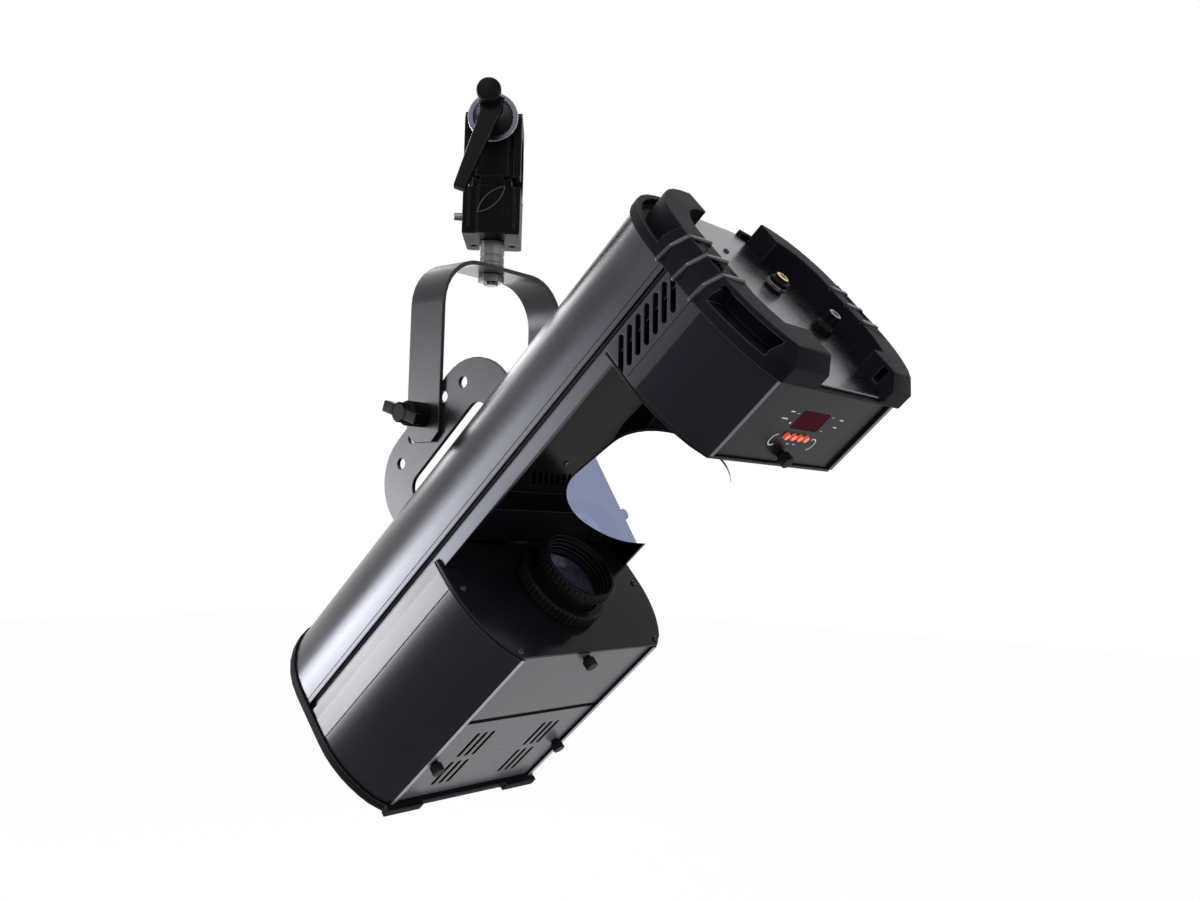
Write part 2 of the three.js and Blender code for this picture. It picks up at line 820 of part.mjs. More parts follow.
addMesh(pivotFrame, 'yoke', buildYoke(), blackSteel());
const nutTop = strapTop - yokeThickness - seatGap;
const nutHole = circlePoints(0, 0, studRadius + seatGap, 24);
addMesh(
  clampFrame, 'hanging_nut', extrudeUp(hexPoints(nutAcrossFlats), nutTop - nutHeight, nutTop, [nutHole]),
  brightSteel(),
);
addMesh(pivotFrame, 'right_tilt_knob', buildKnob(-1), blackPlastic());
addMesh(pivotFrame, 'left_tilt_knob', buildKnob(1), blackPlastic());

// Fixture: turned to face the mirror head along +Y, then tilted about the pivots
const tiltFrame = new THREE.Group();
tiltFrame.rotation.x = rad(-tiltRest);
pivotFrame.add(tiltFrame);
const fixture = new THREE.Group();
fixture.rotation.z = Math.PI;
fixture.position.set(0, earAlong, -pivotRise);
tiltFrame.add(fixture);

const earFace = yokeHalf - seatGap;
const earBack = earFace - earThickness;
const spineAt = (x, grow) => {
  const radius = backCornerRadius + grow;
  const run = Math.max(x - backCorner, 0);
  return backHeight - backCornerRadius + Math.sqrt(radius * radius - run * run);
};

// Where each foot of an ear starts and ends, measured from the middle of the ear
const earFootNear = earSlotLength / 2;
const earFootFar = earHalfLength - overrun / 2;

function buildEar(side) {
  const foot = spineAt(earFace, 0) - earFootDepth;
  const seat = spineAt(earBack, 0) + seatGap;
  const corner = earHalfLength - earCorner;
  const slotCorner = earFootNear - earSlotCorner;
  const outline = [
    point(earFootFar, foot), point(earFootFar, seat), point(earHalfLength, seat),
    ...arcPoints(corner, earTop - earCorner, earCorner, 0, 90, 9),
    ...arcPoints(-corner, earTop - earCorner, earCorner, 90, 180, 9),
    point(-earHalfLength, seat), point(-earFootFar, seat), point(-earFootFar, foot),
    point(-earFootNear, foot),
    ...arcPoints(-slotCorner, earSlotTop - earSlotCorner, earSlotCorner, 180, 90, 5),
    ...arcPoints(slotCorner, earSlotTop - earSlotCorner, earSlotCorner, 90, 0, 5),
    point(earFootNear, foot),
  ];
  const middle = (earHoleCount - 1) / 2;
  const holes = [];
  for (let i = 0; i < earHoleCount; i += 1) {
    const angle = rad((i - middle) * earHoleAngle);
    const radius = i === middle ? knobScrewRadius + seatGap : earHoleRadius;
    const drop = earHoleCircle - earHoleCircle * Math.cos(angle);
    holes.push(circlePoints(earHoleCircle * Math.sin(angle), pivotRise - drop, radius, 12));
  }
  const plate = extrudeAcross(outline, earBack, earFace, holes);
  const flanges = [-1, 1].map((end) => block(
    earBack - earFlange, earBack + earThickness / 2,
    Math.min(end * earFootNear, end * earFootFar), Math.max(end * earFootNear, end * earFootFar), foot,
    foot + sheet,
  ));
  const ear = join(plate, ...flanges);
  return (side > 0 ? ear : ear.rotateZ(Math.PI)).translate(0, earAlong, 0);
}

function buildSpine() {
  const wallInner = bodyHalfWidth - shellWall;
  const tongueOuter = wallInner - seatGap;
  const tongueInner = tongueOuter - shellWall;
  const right = [
    ...backArc(0), point(bodyHalfWidth, -lipDepth), point(tongueOuter, -lipDepth),
    point(tongueOuter, -tongueDepth), point(tongueInner, -tongueDepth),
    point(tongueInner, -lipDepth + shellWall), point(wallInner, -lipDepth + shellWall),
    ...backArc(-shellWall).reverse(),
  ];
  const shell = extrudeAlong([...right, ...mirrored(right)], lampEnd, headEnd);
  const slots = [];
  [-1, 1].forEach((side) => {
    [-1, 1].forEach((end) => {
      slots.push(block(
        Math.min(side * (earBack - seatGap), side * (earFace + seatGap)),
        Math.max(side * (earBack - seatGap), side * (earFace + seatGap)),
        earAlong + Math.min(end * (earFootNear - seatGap), end * (earFootFar + seatGap)),
        earAlong + Math.max(end * (earFootNear - seatGap), end * (earFootFar + seatGap)),
        spineAt(earFace, 0) - earFootDepth - overrun, backHeight,
      ));
    });
  });
  const notches = [];
  [-1, 1].forEach((side) => {
    [[lensPlateBack, lensPlateThickness], [headFront, headPlateThickness]].forEach(([back, thickness]) => {
      notches.push(block(
        Math.min(side * (tongueInner - seatGap), side * bodyHalfWidth),
        Math.max(side * (tongueInner - seatGap), side * bodyHalfWidth),
        back - seatGap, back + thickness + seatGap, -tongueDepth - overrun, -sideTopDepth,
      ));
    });
  });
  return cut(shell, ...slots, ...notches);
}

addMesh(fixture, 'spine', buildSpine(), anodised());
addMesh(fixture, 'right_ear', buildEar(1), blackSteel());
addMesh(fixture, 'left_ear', buildEar(-1), blackSteel());

// Lamp housing
const lampSideEnd = lensPlateBack - seatGap;
const tongueInner = bodyHalfWidth - 2 * shellWall - seatGap;
const plateNarrow = tongueInner - seatGap;

// A partition plate across the end of a housing, with a lug that the cover's thumbscrew goes into
function buildPartition(topDepth, back, thickness, hole, lugFrom, lugTo) {
  const shoulder = -sideTopDepth - seatGap;
  const right = [
    point(plateNarrow, -topDepth), point(plateNarrow, shoulder), point(bodyHalfWidth - plateInset, shoulder),
    ...barrelArc(-plateInset), point(rimHalfWidth - plateInset, -coverDepth + plateInset),
  ];
  const plate = extrudeAlong([...right, ...mirrored(right)], back, back + thickness, [hole]);
  const lug = block(-lugHalfWidth, lugHalfWidth, lugFrom, lugTo, ledgeTop, ledgeTop + sheet);
  return join(plate, lug);
}

// The hole for a cover's thumbscrew
function thumbBore(x, y) {
  return rod('z', thumbScrewRadius + seatGap, -coverDepth - overrun, ledgeTop + sheet + overrun, x, y, 12);
}

function buildLampSide(side) {
  const outline = side > 0 ? sideProfile() : mirrored(sideProfile());
  return cut(extrudeAlong(outline, lampEnd, lampSideEnd), thumbBore(side * ventThumbAcross, ventThumbAlong));
}

addMesh(fixture, 'right_lamp_side', buildLampSide(1), anodised());
addMesh(fixture, 'left_lamp_side', buildLampSide(-1), anodised());

function buildLensPlate() {
  const hole = circlePoints(0, -lensAxisDepth, barrelOuterRadius + runningGap, 30);
  const plate = buildPartition(
    trayHighDepth + sheet + seatGap, lensPlateBack, lensPlateThickness, hole,
    lampThumbAlong - lugHalfWidth, lensPlateBack + sheet,
  );
  return cut(plate, thumbBore(0, lampThumbAlong));
}
addMesh(fixture, 'lens_plate', buildLensPlate(), blackSheet());

const lensPlateFace = lensPlateBack + lensPlateThickness;

addMesh(
  fixture, 'lamp_cover_plate',
  cut(
    block(
      -coverHalfWidth, coverHalfWidth, coverSplit + coverSplitGap / 2, lampSideEnd, coverTop, coverTop + sheet,
    ),
    thumbBore(0, lampThumbAlong),
  ),
  coverPaint(),
);

function buildVentCover() {
  const plate = [
    point(-coverHalfWidth, lampEnd), point(coverHalfWidth, lampEnd),
    point(coverHalfWidth, coverSplit - coverSplitGap / 2),
    point(-coverHalfWidth, coverSplit - coverSplitGap / 2),
  ];
  const holes = [];
  [-1, 1].forEach((side) => {
    [ventRowA, ventRowB].forEach((row) => {
      for (let i = 0; i < ventSlotCount; i += 1) {
        const x = side * ventSlotColumn + (i - (ventSlotCount - 1) / 2) * ventSlotPitch;
        const half = (ventSlotLength - ventSlotWidth) / 2;
        holes.push(slotPoints(x, row - half, x, row + half, ventSlotWidth));
      }
    });
    holes.push(circlePoints(side * ventThumbAcross, ventThumbAlong, thumbScrewRadius + seatGap, 12));
  });
  return extrudeUp(plate, coverTop, coverTop + sheet, holes);
}
addMesh(fixture, 'vent_cover', buildVentCover(), coverPaint());

// A knurled thumbscrew whose head stands on the cover and whose screw goes up through it
function buildThumbscrew() {
  const head = extrudeUp(
    gearPoints(thumbRadius, thumbKnurlDepth, thumbKnurlCount), -thumbNeckHeight - thumbHeight, -thumbNeckHeight,
  );
  const neck = rod('z', thumbNeckRadius, -thumbNeckHeight - runningGap, -seatGap, 0, 0, 16);
  const screw = rod('z', thumbScrewRadius, -thumbNeckHeight, thumbScrewLength, 0, 0, 12);
  return join(head, neck, screw);
}

function placeThumbscrew(name, x, y) {
  const mesh = addMesh(fixture, name, buildThumbscrew(), blackPlastic());
  mesh.position.set(x, y, coverTop);
}
placeThumbscrew('lamp_cover_thumbscrew', 0, lampThumbAlong);
placeThumbscrew('right_vent_thumbscrew', ventThumbAcross, ventThumbAlong);
placeThumbscrew('left_vent_thumbscrew', -ventThumbAcross, ventThumbAlong);
placeThumbscrew('display_panel_thumbscrew', 0, headThumbAlong);

// Tray between the housings
function buildTray() {
  const start = lensPlateFace + seatGap;
  const end = headFront - seatGap;
  const path = [
    point(start, -trayHighDepth), point(trayStep, -trayHighDepth), point(trayStep, -trayLowDepth),
    point(end, -trayLowDepth), point(end, -trayLowDepth + sheet),
    point(trayStep - sheet, -trayLowDepth + sheet),
    point(trayStep - sheet, -trayHighDepth + sheet), point(start, -trayHighDepth + sheet),
  ];
  const floor = extrudeAcross(path, -plateNarrow, plateNarrow);
  const louvres = [];
  for (let i = 0; i < trayLouvreCount; i += 1) {
    const x = (i - (trayLouvreCount - 1) / 2) * trayLouvrePitch;
    const dx = (trayLouvreLength / 2) * Math.sin(rad(trayLouvreSlant));
    const dy = (trayLouvreLength / 2) * Math.cos(rad(trayLouvreSlant));
    const y = trayStep + trayLouvreLength;
    const outline = slotPoints(x - dx, y - dy, x + dx, y + dy, trayLouvreWidth);
    louvres.push(extrudeUp(outline, -trayLowDepth - overrun, -trayLowDepth + sheet + overrun));
  }
  return cut(floor, ...louvres);
}
addMesh(fixture, 'tray_floor', buildTray(), blackSheet());

// Head housing
const headSideStart = headFront + headPlateThickness + seatGap;

function buildHeadSide(points) {
  const shell = extrudeAlong(points, headSideStart, headEnd);
  const louvres = [];
  for (let i = 0; i < louvreCount; i += 1) {
    const y = louvreFirst + i * louvrePitch - louvreLean / 2;
    const outline = slotPoints(
      y + louvreLean / 2, -louvreTopDepth, y - louvreLean / 2, -louvreBottomDepth, louvreWidth,
    );
    louvres.push(extrudeAcross(outline, -bodyHalfWidth - overrun, bodyHalfWidth + overrun));
  }
  return cut(shell, ...louvres);
}
addMesh(fixture, 'right_head_side', buildHeadSide(sideProfile()), anodised());
addMesh(fixture, 'left_head_side', buildHeadSide(mirrored(sideProfile())), anodised());

function buildHeadFrontPlate() {
  const hole = circlePoints(0, -panAxisDepth, bracketHubRadius + runningGap, 18);
  const plate = buildPartition(
    trayLowDepth + seatGap, headFront, headPlateThickness, hole, headFront + sheet / 2,
    headThumbAlong + lugHalfWidth,
  );
  return cut(plate, thumbBore(0, headThumbAlong));
}
addMesh(fixture, 'head_front_plate', buildHeadFrontPlate(), blackSheet());

function buttonPlaces() {
  const places = [];
  for (let i = 0; i < buttonCount; i += 1) places.push((i - (buttonCount - 1) / 2) * buttonPitch);
  return places;
}

function buildDisplayPanel() {
  const plate = [
    point(-coverHalfWidth, headSideStart), point(coverHalfWidth, headSideStart),
    point(coverHalfWidth, headEnd), point(-coverHalfWidth, headEnd),
  ];
  const windowHole = roundedBox(
    -windowWidth / 2, windowWidth / 2, windowAlong - windowHeight / 2, windowAlong + windowHeight / 2,
    windowCorner, 3,
  );
  const holes = [windowHole];
  buttonPlaces().forEach((x) => holes.push(
    circlePoints(x, buttonAlong, buttonRadius + runningGap / 2, 16),
  ));
  holes.push(circlePoints(0, headThumbAlong, thumbScrewRadius + seatGap, 12));
  return extrudeUp(plate, coverTop, coverTop + sheet, holes);
}
addMesh(fixture, 'display_panel', buildDisplayPanel(), coverPaint());

// The window drops into its opening, with a lip behind the panel
function buildWindow() {
  const inside = coverTop + sheet + seatGap;
  const halfW = windowWidth / 2 - seatGap;
  const halfH = windowHeight / 2 - seatGap;
  const pane = extrudeUp(
    roundedBox(-halfW, halfW, windowAlong - halfH, windowAlong + halfH, windowCorner, 3),
    coverTop + seatGap, inside + seatGap,
  );
  const lip = block(
    -windowWidth / 2 - windowCorner, windowWidth / 2 + windowCorner,
    windowAlong - windowHeight / 2 - windowCorner, windowAlong + windowHeight / 2 + windowCorner,
    inside, coverTop + windowThickness + seatGap,
  );
  return join(pane, lip);
}
addMesh(fixture, 'display_window', buildWindow(), windowRed());

const boardTop = coverTop + sheet + seatGap + boardStandOff;

function buildButton() {
  const inside = coverTop + sheet + seatGap;
  const profile = [
    [0, -buttonProud], [buttonRadius - seatGap, -buttonProud], [buttonRadius, -buttonProud + seatGap],
    [buttonRadius, inside - coverTop], [buttonRadius + buttonFlange, inside - coverTop],
    [buttonRadius + buttonFlange, inside - coverTop + buttonFlange],
    [buttonStemRadius, inside - coverTop + buttonFlange],
    [buttonStemRadius, boardTop - coverTop - buttonTravel - seatGap],
    [0, boardTop - coverTop - buttonTravel - seatGap],
  ];
  return turned(profile, 16).rotateX(Math.PI / 2);
}
buttonPlaces().forEach((x, i) => {
  const mesh = addMesh(fixture, `button_${i + 1}`, buildButton(), buttonRed());
  mesh.position.set(-x, buttonAlong, coverTop);
});

function buildControlBoard() {
  const low = headSideStart + overrun;
  const board = block(
    -boardWidth / 2, boardWidth / 2, low, low + boardLength, boardTop, boardTop + boardThickness,
  );
  const inset = 2 * boardPostRadius;
  const posts = [];
  [-1, 1].forEach((side) => {
    [low + inset, low + boardLength - inset].forEach((y) => {
      posts.push(rod(
        'z', boardPostRadius, coverTop + sheet + seatGap, boardTop + boardThickness / 2,
        side * (boardWidth / 2 - inset), y, 12,
      ));
    });
  });
  return join(board, ...posts);
}
addMesh(fixture, 'control_board', buildControlBoard(), boardGreen());

// Head end cap: a thin ring, and a thick ribbed wall along each side that turns round both corners
function buildHeadCap() {
  const base = headEnd + seatGap;
  const top = base + headWallHeight;
  const wide = bodyHalfWidth + capProud + overrun;
  const tall = backHeight + capProud + overrun;
  const deep = coverDepth + capProud + overrun;
  const above = top + overrun;
  const ring = extrudeAlong(wholeOutline(capProud), base, base + headRingHeight, [wholeOutline(-capEdge)]);

  const shape = new THREE.Shape(wholeOutline(capProud));
  const wall = new THREE.ExtrudeGeometry(shape, {
    depth: headWallHeight - headWallChamfer, bevelThickness: headWallChamfer, bevelSize: headWallOuter,
    bevelOffset: -headWallOuter, bevelSegments: 1,
  }).rotateX(Math.PI / 2).translate(0, top - headWallChamfer, 0);
  const below = block(-wide, wide, base - headWallHeight, base, -deep, tall);
  const inside = extrudeAlong(wholeOutline(-headWallInner), base - overrun, above);
  const middle = block(-headWallEndLeft, headWallEndRight, base - overrun, above, -deep, tall);
  const walls = cut(wall, below, inside, middle);

  // Round the back corners the collar stays low and the wall stands inside it
  const outerBand = extrudeAlong(
    wholeOutline(capProud + overrun), base + headCollarHeight, above, [wholeOutline(-headWallOuter)],
  );
  const groove = extrudeAlong(
    wholeOutline(-capEdge / 2), base + headRingHeight, above, [wholeOutline(-headWallOuter)],
  );
  const backZone = block(-wide, wide, base, above, hornGrooveBottom, tall);
  const backCuts = common(join(outerBand, groove), backZone);

  const ribs = [];
  const ribPockets = [];
  const bosses = [];
  [-1, 1].forEach((side) => {
    const outer = bodyHalfWidth + capProud + ribProud;
    const shoulder = outer - ribRamp;
    const inner = bodyHalfWidth - headWallInner;
    for (let i = 0; i < ribCount; i += 1) {
      const z = -ribFirstDepth - i * ribPitch;
      const profile = [
        point(side * inner, top - ribWidth), point(side * inner, top + ribProud / 2),
        point(side * shoulder, top),
        point(side * (outer - ribProud), base + headWallHeight - headWallChamfer),
        point(side * outer, base + headRingHeight), point(side * outer, base),
        point(side * (bodyHalfWidth - headWallOuter), base),
      ];
      ribs.push(extrudeUp(profile, z - ribWidth / 2, z + ribWidth / 2));
      if (i === ribCount - 1) continue;
      const pocketTop = z - ribWidth - ribPocketLength / 2;
      const edge = side * (bodyHalfWidth - headWallOuter);
      const far = side * (bodyHalfWidth - headWallOuter - ribPocketWidth);
      ribPockets.push(block(
        Math.min(edge, far), Math.max(edge, far), top - ribPocketDepth, above,
        pocketTop - ribPocketLength / 2,
        pocketTop + ribPocketLength / 2,
      ));
    }
  });
  const pocketBand = extrudeAlong(
    wholeOutline(capProud + overrun), base + headCollarHeight, top - capPocketRoof,
    [wholeOutline(-capPocketInset)],
  );
  const pocketZone = block(-wide, wide, base, above, -capPocketBottom, -capPocketTop);
  const cornerPockets = common(pocketBand, pocketZone);
  [-1, 1].forEach((side) => {
    bosses.push(
      rod(
        'y', capBossRadius, base + headRingHeight, top - capPocketRoof / 2, side * capBossAcross, -capBossDepth, 20,
      ),
    );
  });
  return join(cut(join(walls, ring), backCuts, cornerPockets, ...ribPockets), ...ribs, ...bosses);
}
addMesh(fixture, 'head_end_cap', buildHeadCap(), capPlastic());

// Connector plate on the ring, between the walls of the end cap, with what it carries
const connectorBack = headEnd + seatGap + headRingHeight + seatGap;
const connectorFace = connectorBack + sheet;
const fuseAcross = fuseInset - bodyHalfWidth;
const glandAcross = glandInset - bodyHalfWidth;
const socketAcross = bodyHalfWidth - socketInset;

function buildConnectorPlate() {
  const hole = (x, depth, radius) => circlePoints(x, -depth, radius + seatGap, 24);
  const field = extrudeAlong(wholeOutline(-headWallInner - 2 * seatGap), connectorBack, connectorFace, [
    hole(fuseAcross, fuseDepth, fuseRadius - sheet),
    hole(glandAcross, glandDepth, glandNeckRadius),
    hole(socketAcross, socketInDepth, socketRadius),
    hole(socketAcross, socketOutDepth, socketRadius),
  ]);
  const tabLeft = seatGap - headWallEndLeft;
  const tabRight = headWallEndRight - seatGap;
  const full = extrudeAlong(wholeOutline(-seatGap), connectorBack, connectorFace);
  const high = wholeTop(-headWallInner - sheet);
  const low = -coverDepth + headWallInner + sheet;
  const backTab = common(full, block(tabLeft, tabRight, connectorBack, connectorFace, high, backHeight));
  const frontTab = common(full, block(tabLeft, tabRight, connectorBack, connectorFace, -coverDepth, low));
  return join(field, backTab, frontTab);
}
addMesh(fixture, 'connector_plate', buildConnectorPlate(), zincPlate());

function buildFuseHolder() {
  const neck = fuseRadius - sheet;
  return turned([
    [0, -sheet * 6], [neck - seatGap, -sheet * 6], [neck - seatGap, seatGap], [fuseRadius, seatGap],
    [fuseRadius, fuseProud - 1.5 * sheet], [neck, fuseProud - sheet], [neck, fuseProud], [0, fuseProud],
  ], 16);
}
const fuse = addMesh(fixture, 'fuse_holder', buildFuseHolder(), blackPlastic());
fuse.position.set(fuseAcross, connectorFace, -fuseDepth);

function buildGland() {
  return turned([
    [0, -sheet * 5], [glandNeckRadius - seatGap, -sheet * 5], [glandNeckRadius - seatGap, seatGap],
    [glandRadius, seatGap], [glandRadius, glandProud / 3], [glandNeckRadius, glandProud / 2],
    [glandNeckRadius - seatGap, glandProud], [glandBoreRadius, glandProud],
    [glandBoreRadius, glandProud - glandBoreDepth], [0, glandProud - glandBoreDepth],
  ], 16);
}
const gland = addMesh(fixture, 'cable_gland', buildGland(), blackPlastic());
gland.position.set(glandAcross, connectorFace, -glandDepth);

function buildSocket() {
  const neck = socketRadius - seatGap;
  return turned([
    [0, -socketLength], [neck, -socketLength], [neck, seatGap], [socketFlange, seatGap],
    [socketFlange, socketProud], [neck - sheet, socketProud], [neck - sheet, socketProud - socketRecess],
    [0, socketProud - socketRecess],
  ], 20);
}
[['dmx_in_socket', socketInDepth], ['dmx_out_socket', socketOutDepth]].forEach(([name, depth]) => {
  const mesh = addMesh(fixture, name, buildSocket(), blackPlastic());
  mesh.position.set(socketAcross, connectorFace, -depth);
});

// Lamp end cap: a shallow dish with a rounded edge, a fan grille and two feet
function buildLampCap() {
  const face = lampEnd - seatGap;
  const end = face - lampCapDepth;
  const shape = new THREE.Shape(wholeOutline(lampCapProud));
  const rounded = new THREE.ExtrudeGeometry(shape, {
    depth: 2 * lampCapDepth, bevelThickness: lampCapRound, bevelSize: lampCapRound,
    bevelOffset: -lampCapRound, bevelSegments: 3,
  }).rotateX(Math.PI / 2).translate(0, end + 2 * lampCapDepth + lampCapRound, 0);
  const wide = bodyHalfWidth + 2 * overrun;
  const spare = block(
    -wide, wide, face, face + 3 * lampCapDepth + 2 * lampCapRound, -coverDepth - 2 * overrun, wide,
  );
  const pocket = extrudeAlong(wholeOutline(-lampCapWall), end + lampCapWall, face + overrun);
  const slots = [];
  const reach = fanBore;
  const count = Math.floor((2 * reach) / grillePitch);
  for (let i = 0; i < count; i += 1) {
    const z = (i - (count - 1) / 2) * grillePitch;
    const half = Math.sqrt(reach * reach - z * z);
    slots.push(extrudeAlong(
      slotPoints(-half, -lensAxisDepth + z, half, -lensAxisDepth + z, grilleSlotWidth, 3), end - overrun,
      end + lampCapWall + overrun,
    ));
  }
  const feet = [-1, 1].map((side) => {
    const a = side * lampFootInner;
    const b = side * lampFootOuter;
    return block(
      Math.min(a, b), Math.max(a, b), end + lampCapRound / 2, face,
      -coverDepth - lampCapProud - lampFootProud, -coverDepth,
    );
  });
  return cut(join(cut(rounded, spare), ...feet), pocket, ...slots);
}
addMesh(fixture, 'lamp_end_cap', buildLampCap(), capPlastic());

// Lens: a toothed focus ring on the plate, a barrel that slides in it, and the front lens
const lensFrame = new THREE.Group();
lensFrame.position.set(0, lensPlateFace, -lensAxisDepth);
fixture.add(lensFrame);

function buildFocusRing() {
  const hole = circlePoints(0, 0, barrelOuterRadius + runningGap, 30);
  return extrudeAlong(
    gearPoints(focusRingRadius, focusToothDepth, focusToothCount), seatGap, seatGap + focusRingHeight, [hole],
  );
}

function buildBarrel() {
  const ringTop = seatGap + focusRingHeight;
  const neckStart = ringTop + runningGap + 2 * seatGap;
  const front = ringTop + barrelProud;
  const inner = barrelOuterRadius - barrelWall;
  const lensBack = front - lensRecess - lensThickness;
  const seat = inner - lensSeatDepth;
  const tube = turned([
    [seat, -barrelBack], [barrelOuterRadius, -barrelBack], [barrelOuterRadius, neckStart],
    [barrelNeckRadius, neckStart], [barrelNeckRadius, neckStart + barrelNeckLength],
    [barrelOuterRadius, neckStart + barrelNeckLength], [barrelOuterRadius, front - barrelFrontLength / 2],
    [barrelOuterRadius, front], [inner, front], [inner, lensBack - seatGap], [seat, lensBack - seatGap],
    [seat, -barrelBack],
  ], 28);
  const hole = circlePoints(0, 0, barrelOuterRadius - barrelWall / 2, 24);
  const knurl = extrudeAlong(
    gearPoints(barrelFrontRadius, frontToothDepth, frontToothCount), front - barrelFrontLength,
    front - seatGap, [hole],
  );
  return join(tube, knurl);
}

function buildLens() {
  const front = seatGap + focusRingHeight + barrelProud - lensRecess;
  const radius = barrelOuterRadius - barrelWall - seatGap;
  const edge = lensThickness / 3;
  const dome = (share, side) => {
    const bulge = (lensThickness - edge) / 2;
    return [radius * share, side * (edge / 2 + bulge * (1 - share * share))];
  };
  const steps = 4;
  const profile = [];
  for (let i = 0; i <= steps; i += 1) profile.push(dome(i / steps, -1));
  for (let i = steps; i >= 0; i -= 1) profile.push(dome(i / steps, 1));
  return turned(profile, 24).translate(0, front - lensThickness / 2, 0);
}
addMesh(lensFrame, 'focus_ring', buildFocusRing(), blackPlastic());
addMesh(lensFrame, 'lens_barrel', buildBarrel(), blackPlastic());
addMesh(lensFrame, 'front_lens', buildLens(), glass());

// Mirror, panned under the head and tilted on its own motor
const panFrame = new THREE.Group();
panFrame.position.set(0, tiltAxisAlong, -panAxisDepth);
panFrame.rotation.y = rad(-mirrorPanRest);
fixture.add(panFrame);
const mirrorFrame = new THREE.Group();
mirrorFrame.rotation.x = rad(-mirrorTiltRest);
panFrame.add(mirrorFrame);

function buildPanMotor() {
  const half = panMotorSize / 2;
  const start = headFront + headPlateThickness + seatGap;
  const body = extrudeAlong(
    roundedBox(-half, half, -half, half, panMotorCorner, 2), start, start + panMotorLength,
  );
  const shaft = rod(
    'y', motorShaftRadius, headFront - bracketHubLength, start + overrun, 0, 0, 16,
  );
  return join(body, shaft).translate(0, 0, -panAxisDepth);
}
addMesh(fixture, 'pan_motor', buildPanMotor(), blackSteel());

const discTop = headFront - seatGap - bracketHubLength / 2 - tiltAxisAlong;
const cheekInner = tiltMotorOff + tiltMotorLength + seatGap;

function buildMirrorBracket() {
  const disc = rod('y', bracketDiscRadius, discTop - bracketDiscThickness, discTop, 0, 0, 28);
  const hub = rod(
    'y', bracketHubRadius, discTop - bracketHubLength, discTop + bracketHubLength / 4, 0, 0, 24,
  );
  const cheekTop = bracketCheekHalfWidth * bracketCheekTopShare;
  const cheekPoints = [
    point(discTop, -cheekTop), point(discTop, cheekTop),
    point(0, bracketCheekHalfWidth), ...arcPoints(0, 0, bracketCheekReach, 90, 270, 10).slice(1, -1),
    point(0, -bracketCheekHalfWidth),
  ];
  const cheek = extrudeAcross(cheekPoints, cheekInner, cheekInner + sheet);
  const link = block(
    0, cheekInner + sheet, discTop - bracketDiscThickness, discTop, -bracketCheekReach / 2, bracketCheekReach / 2,
  );
  const shaftBore = rod(
    'y', motorShaftRadius + seatGap, discTop - bracketHubLength - overrun, discTop + overrun * 2, 0, 0, 16,
  );
  return cut(join(disc, hub, link, cheek), shaftBore);
}
addMesh(panFrame, 'mirror_bracket', buildMirrorBracket(), blackSteel());

function buildTiltMotor() {
  const body = rod('x', tiltMotorRadius, tiltMotorOff, tiltMotorOff + tiltMotorLength, 0, 0, 28);
  const shaft = rod(
    'x', motorShaftRadius, -mirrorEarOff - mirrorEarThickness, tiltMotorOff + overrun, 0, 0, 16,
  );
  return join(body, shaft);
}
addMesh(panFrame, 'tilt_motor', buildTiltMotor(), blackSteel());

const mirrorBack = -mirrorOffset + mirrorThickness + seatGap;

function buildMirrorMount() {
  const half = mirrorBackSize / 2;
  const plate = extrudeUp(
    roundedBox(-half, half, -half, half, half / 4, 3), mirrorBack, mirrorBack + mirrorBackThickness,
  );
  const earHalf = mirrorEarWidth / 2;
  const ear = block(
    -mirrorEarOff - mirrorEarThickness, -mirrorEarOff, -earHalf, earHalf, mirrorBack, 0,
  );
  const boss = rod('x', earHalf, -mirrorEarOff - mirrorEarThickness, -mirrorEarOff, 0, 0, 20);
  const bore = rod('x', motorShaftRadius + seatGap, -mirrorBackSize, mirrorBackSize, 0, 0, 16);
  return cut(join(plate, ear, boss), bore);
}
addMesh(mirrorFrame, 'mirror_mount', buildMirrorMount(), blackSteel());

addMesh(
  mirrorFrame, 'mirror',
  extrudeUp(
    roundedBox(-mirrorHalfWidth, mirrorHalfWidth, -mirrorHalfLength, mirrorHalfLength, mirrorCorner, 9),
    -mirrorOffset, -mirrorOffset + mirrorThickness,
  ),
  mirrorCoat(),
);

// Lamp compartment behind a heat shield, and the two wheels in front of it
function buildHeatShield() {
  const inset = shellWall + sheet;
  const right = [
    point(plateNarrow, -trayLowDepth), point(plateNarrow, -tongueDepth - seatGap),
    ...barrelArc(-inset),
    point(rimHalfWidth - rimWidth - ledgeWidth - seatGap, ledgeTop + sheet + seatGap),
  ];
  const aperture = circlePoints(0, -lensAxisDepth, apertureRadius, 24);
  return extrudeAlong([...right, ...mirrored(right)], shieldAlong, shieldAlong + sheet, [aperture]);
}
addMesh(fixture, 'heat_shield', buildHeatShield(), zincPlate());

const opticFrame = new THREE.Group();
opticFrame.position.set(0, 0, -lensAxisDepth);
fixture.add(opticFrame);

const reflectorFront = shieldAlong - seatGap;
const reflectorBack = reflectorFront - reflectorDepth;

function buildReflector() {
  const bowl = (inset) => {
    const list = [];
    const steps = 4;
    for (let i = 0; i <= steps; i += 1) {
      const share = i / steps;
      const radius = reflectorNeckRadius + (reflectorRadius - reflectorNeckRadius) * Math.sqrt(share);
      list.push([radius - inset, reflectorBack + reflectorDepth * share]);
    }
    return list;
  };
  const outer = bowl(0);
  const inner = bowl(reflectorWall).reverse();
  return turned([...outer, ...inner, outer[0]], 24);
}
addMesh(opticFrame, 'lamp_reflector', buildReflector(), mirrorCoat());

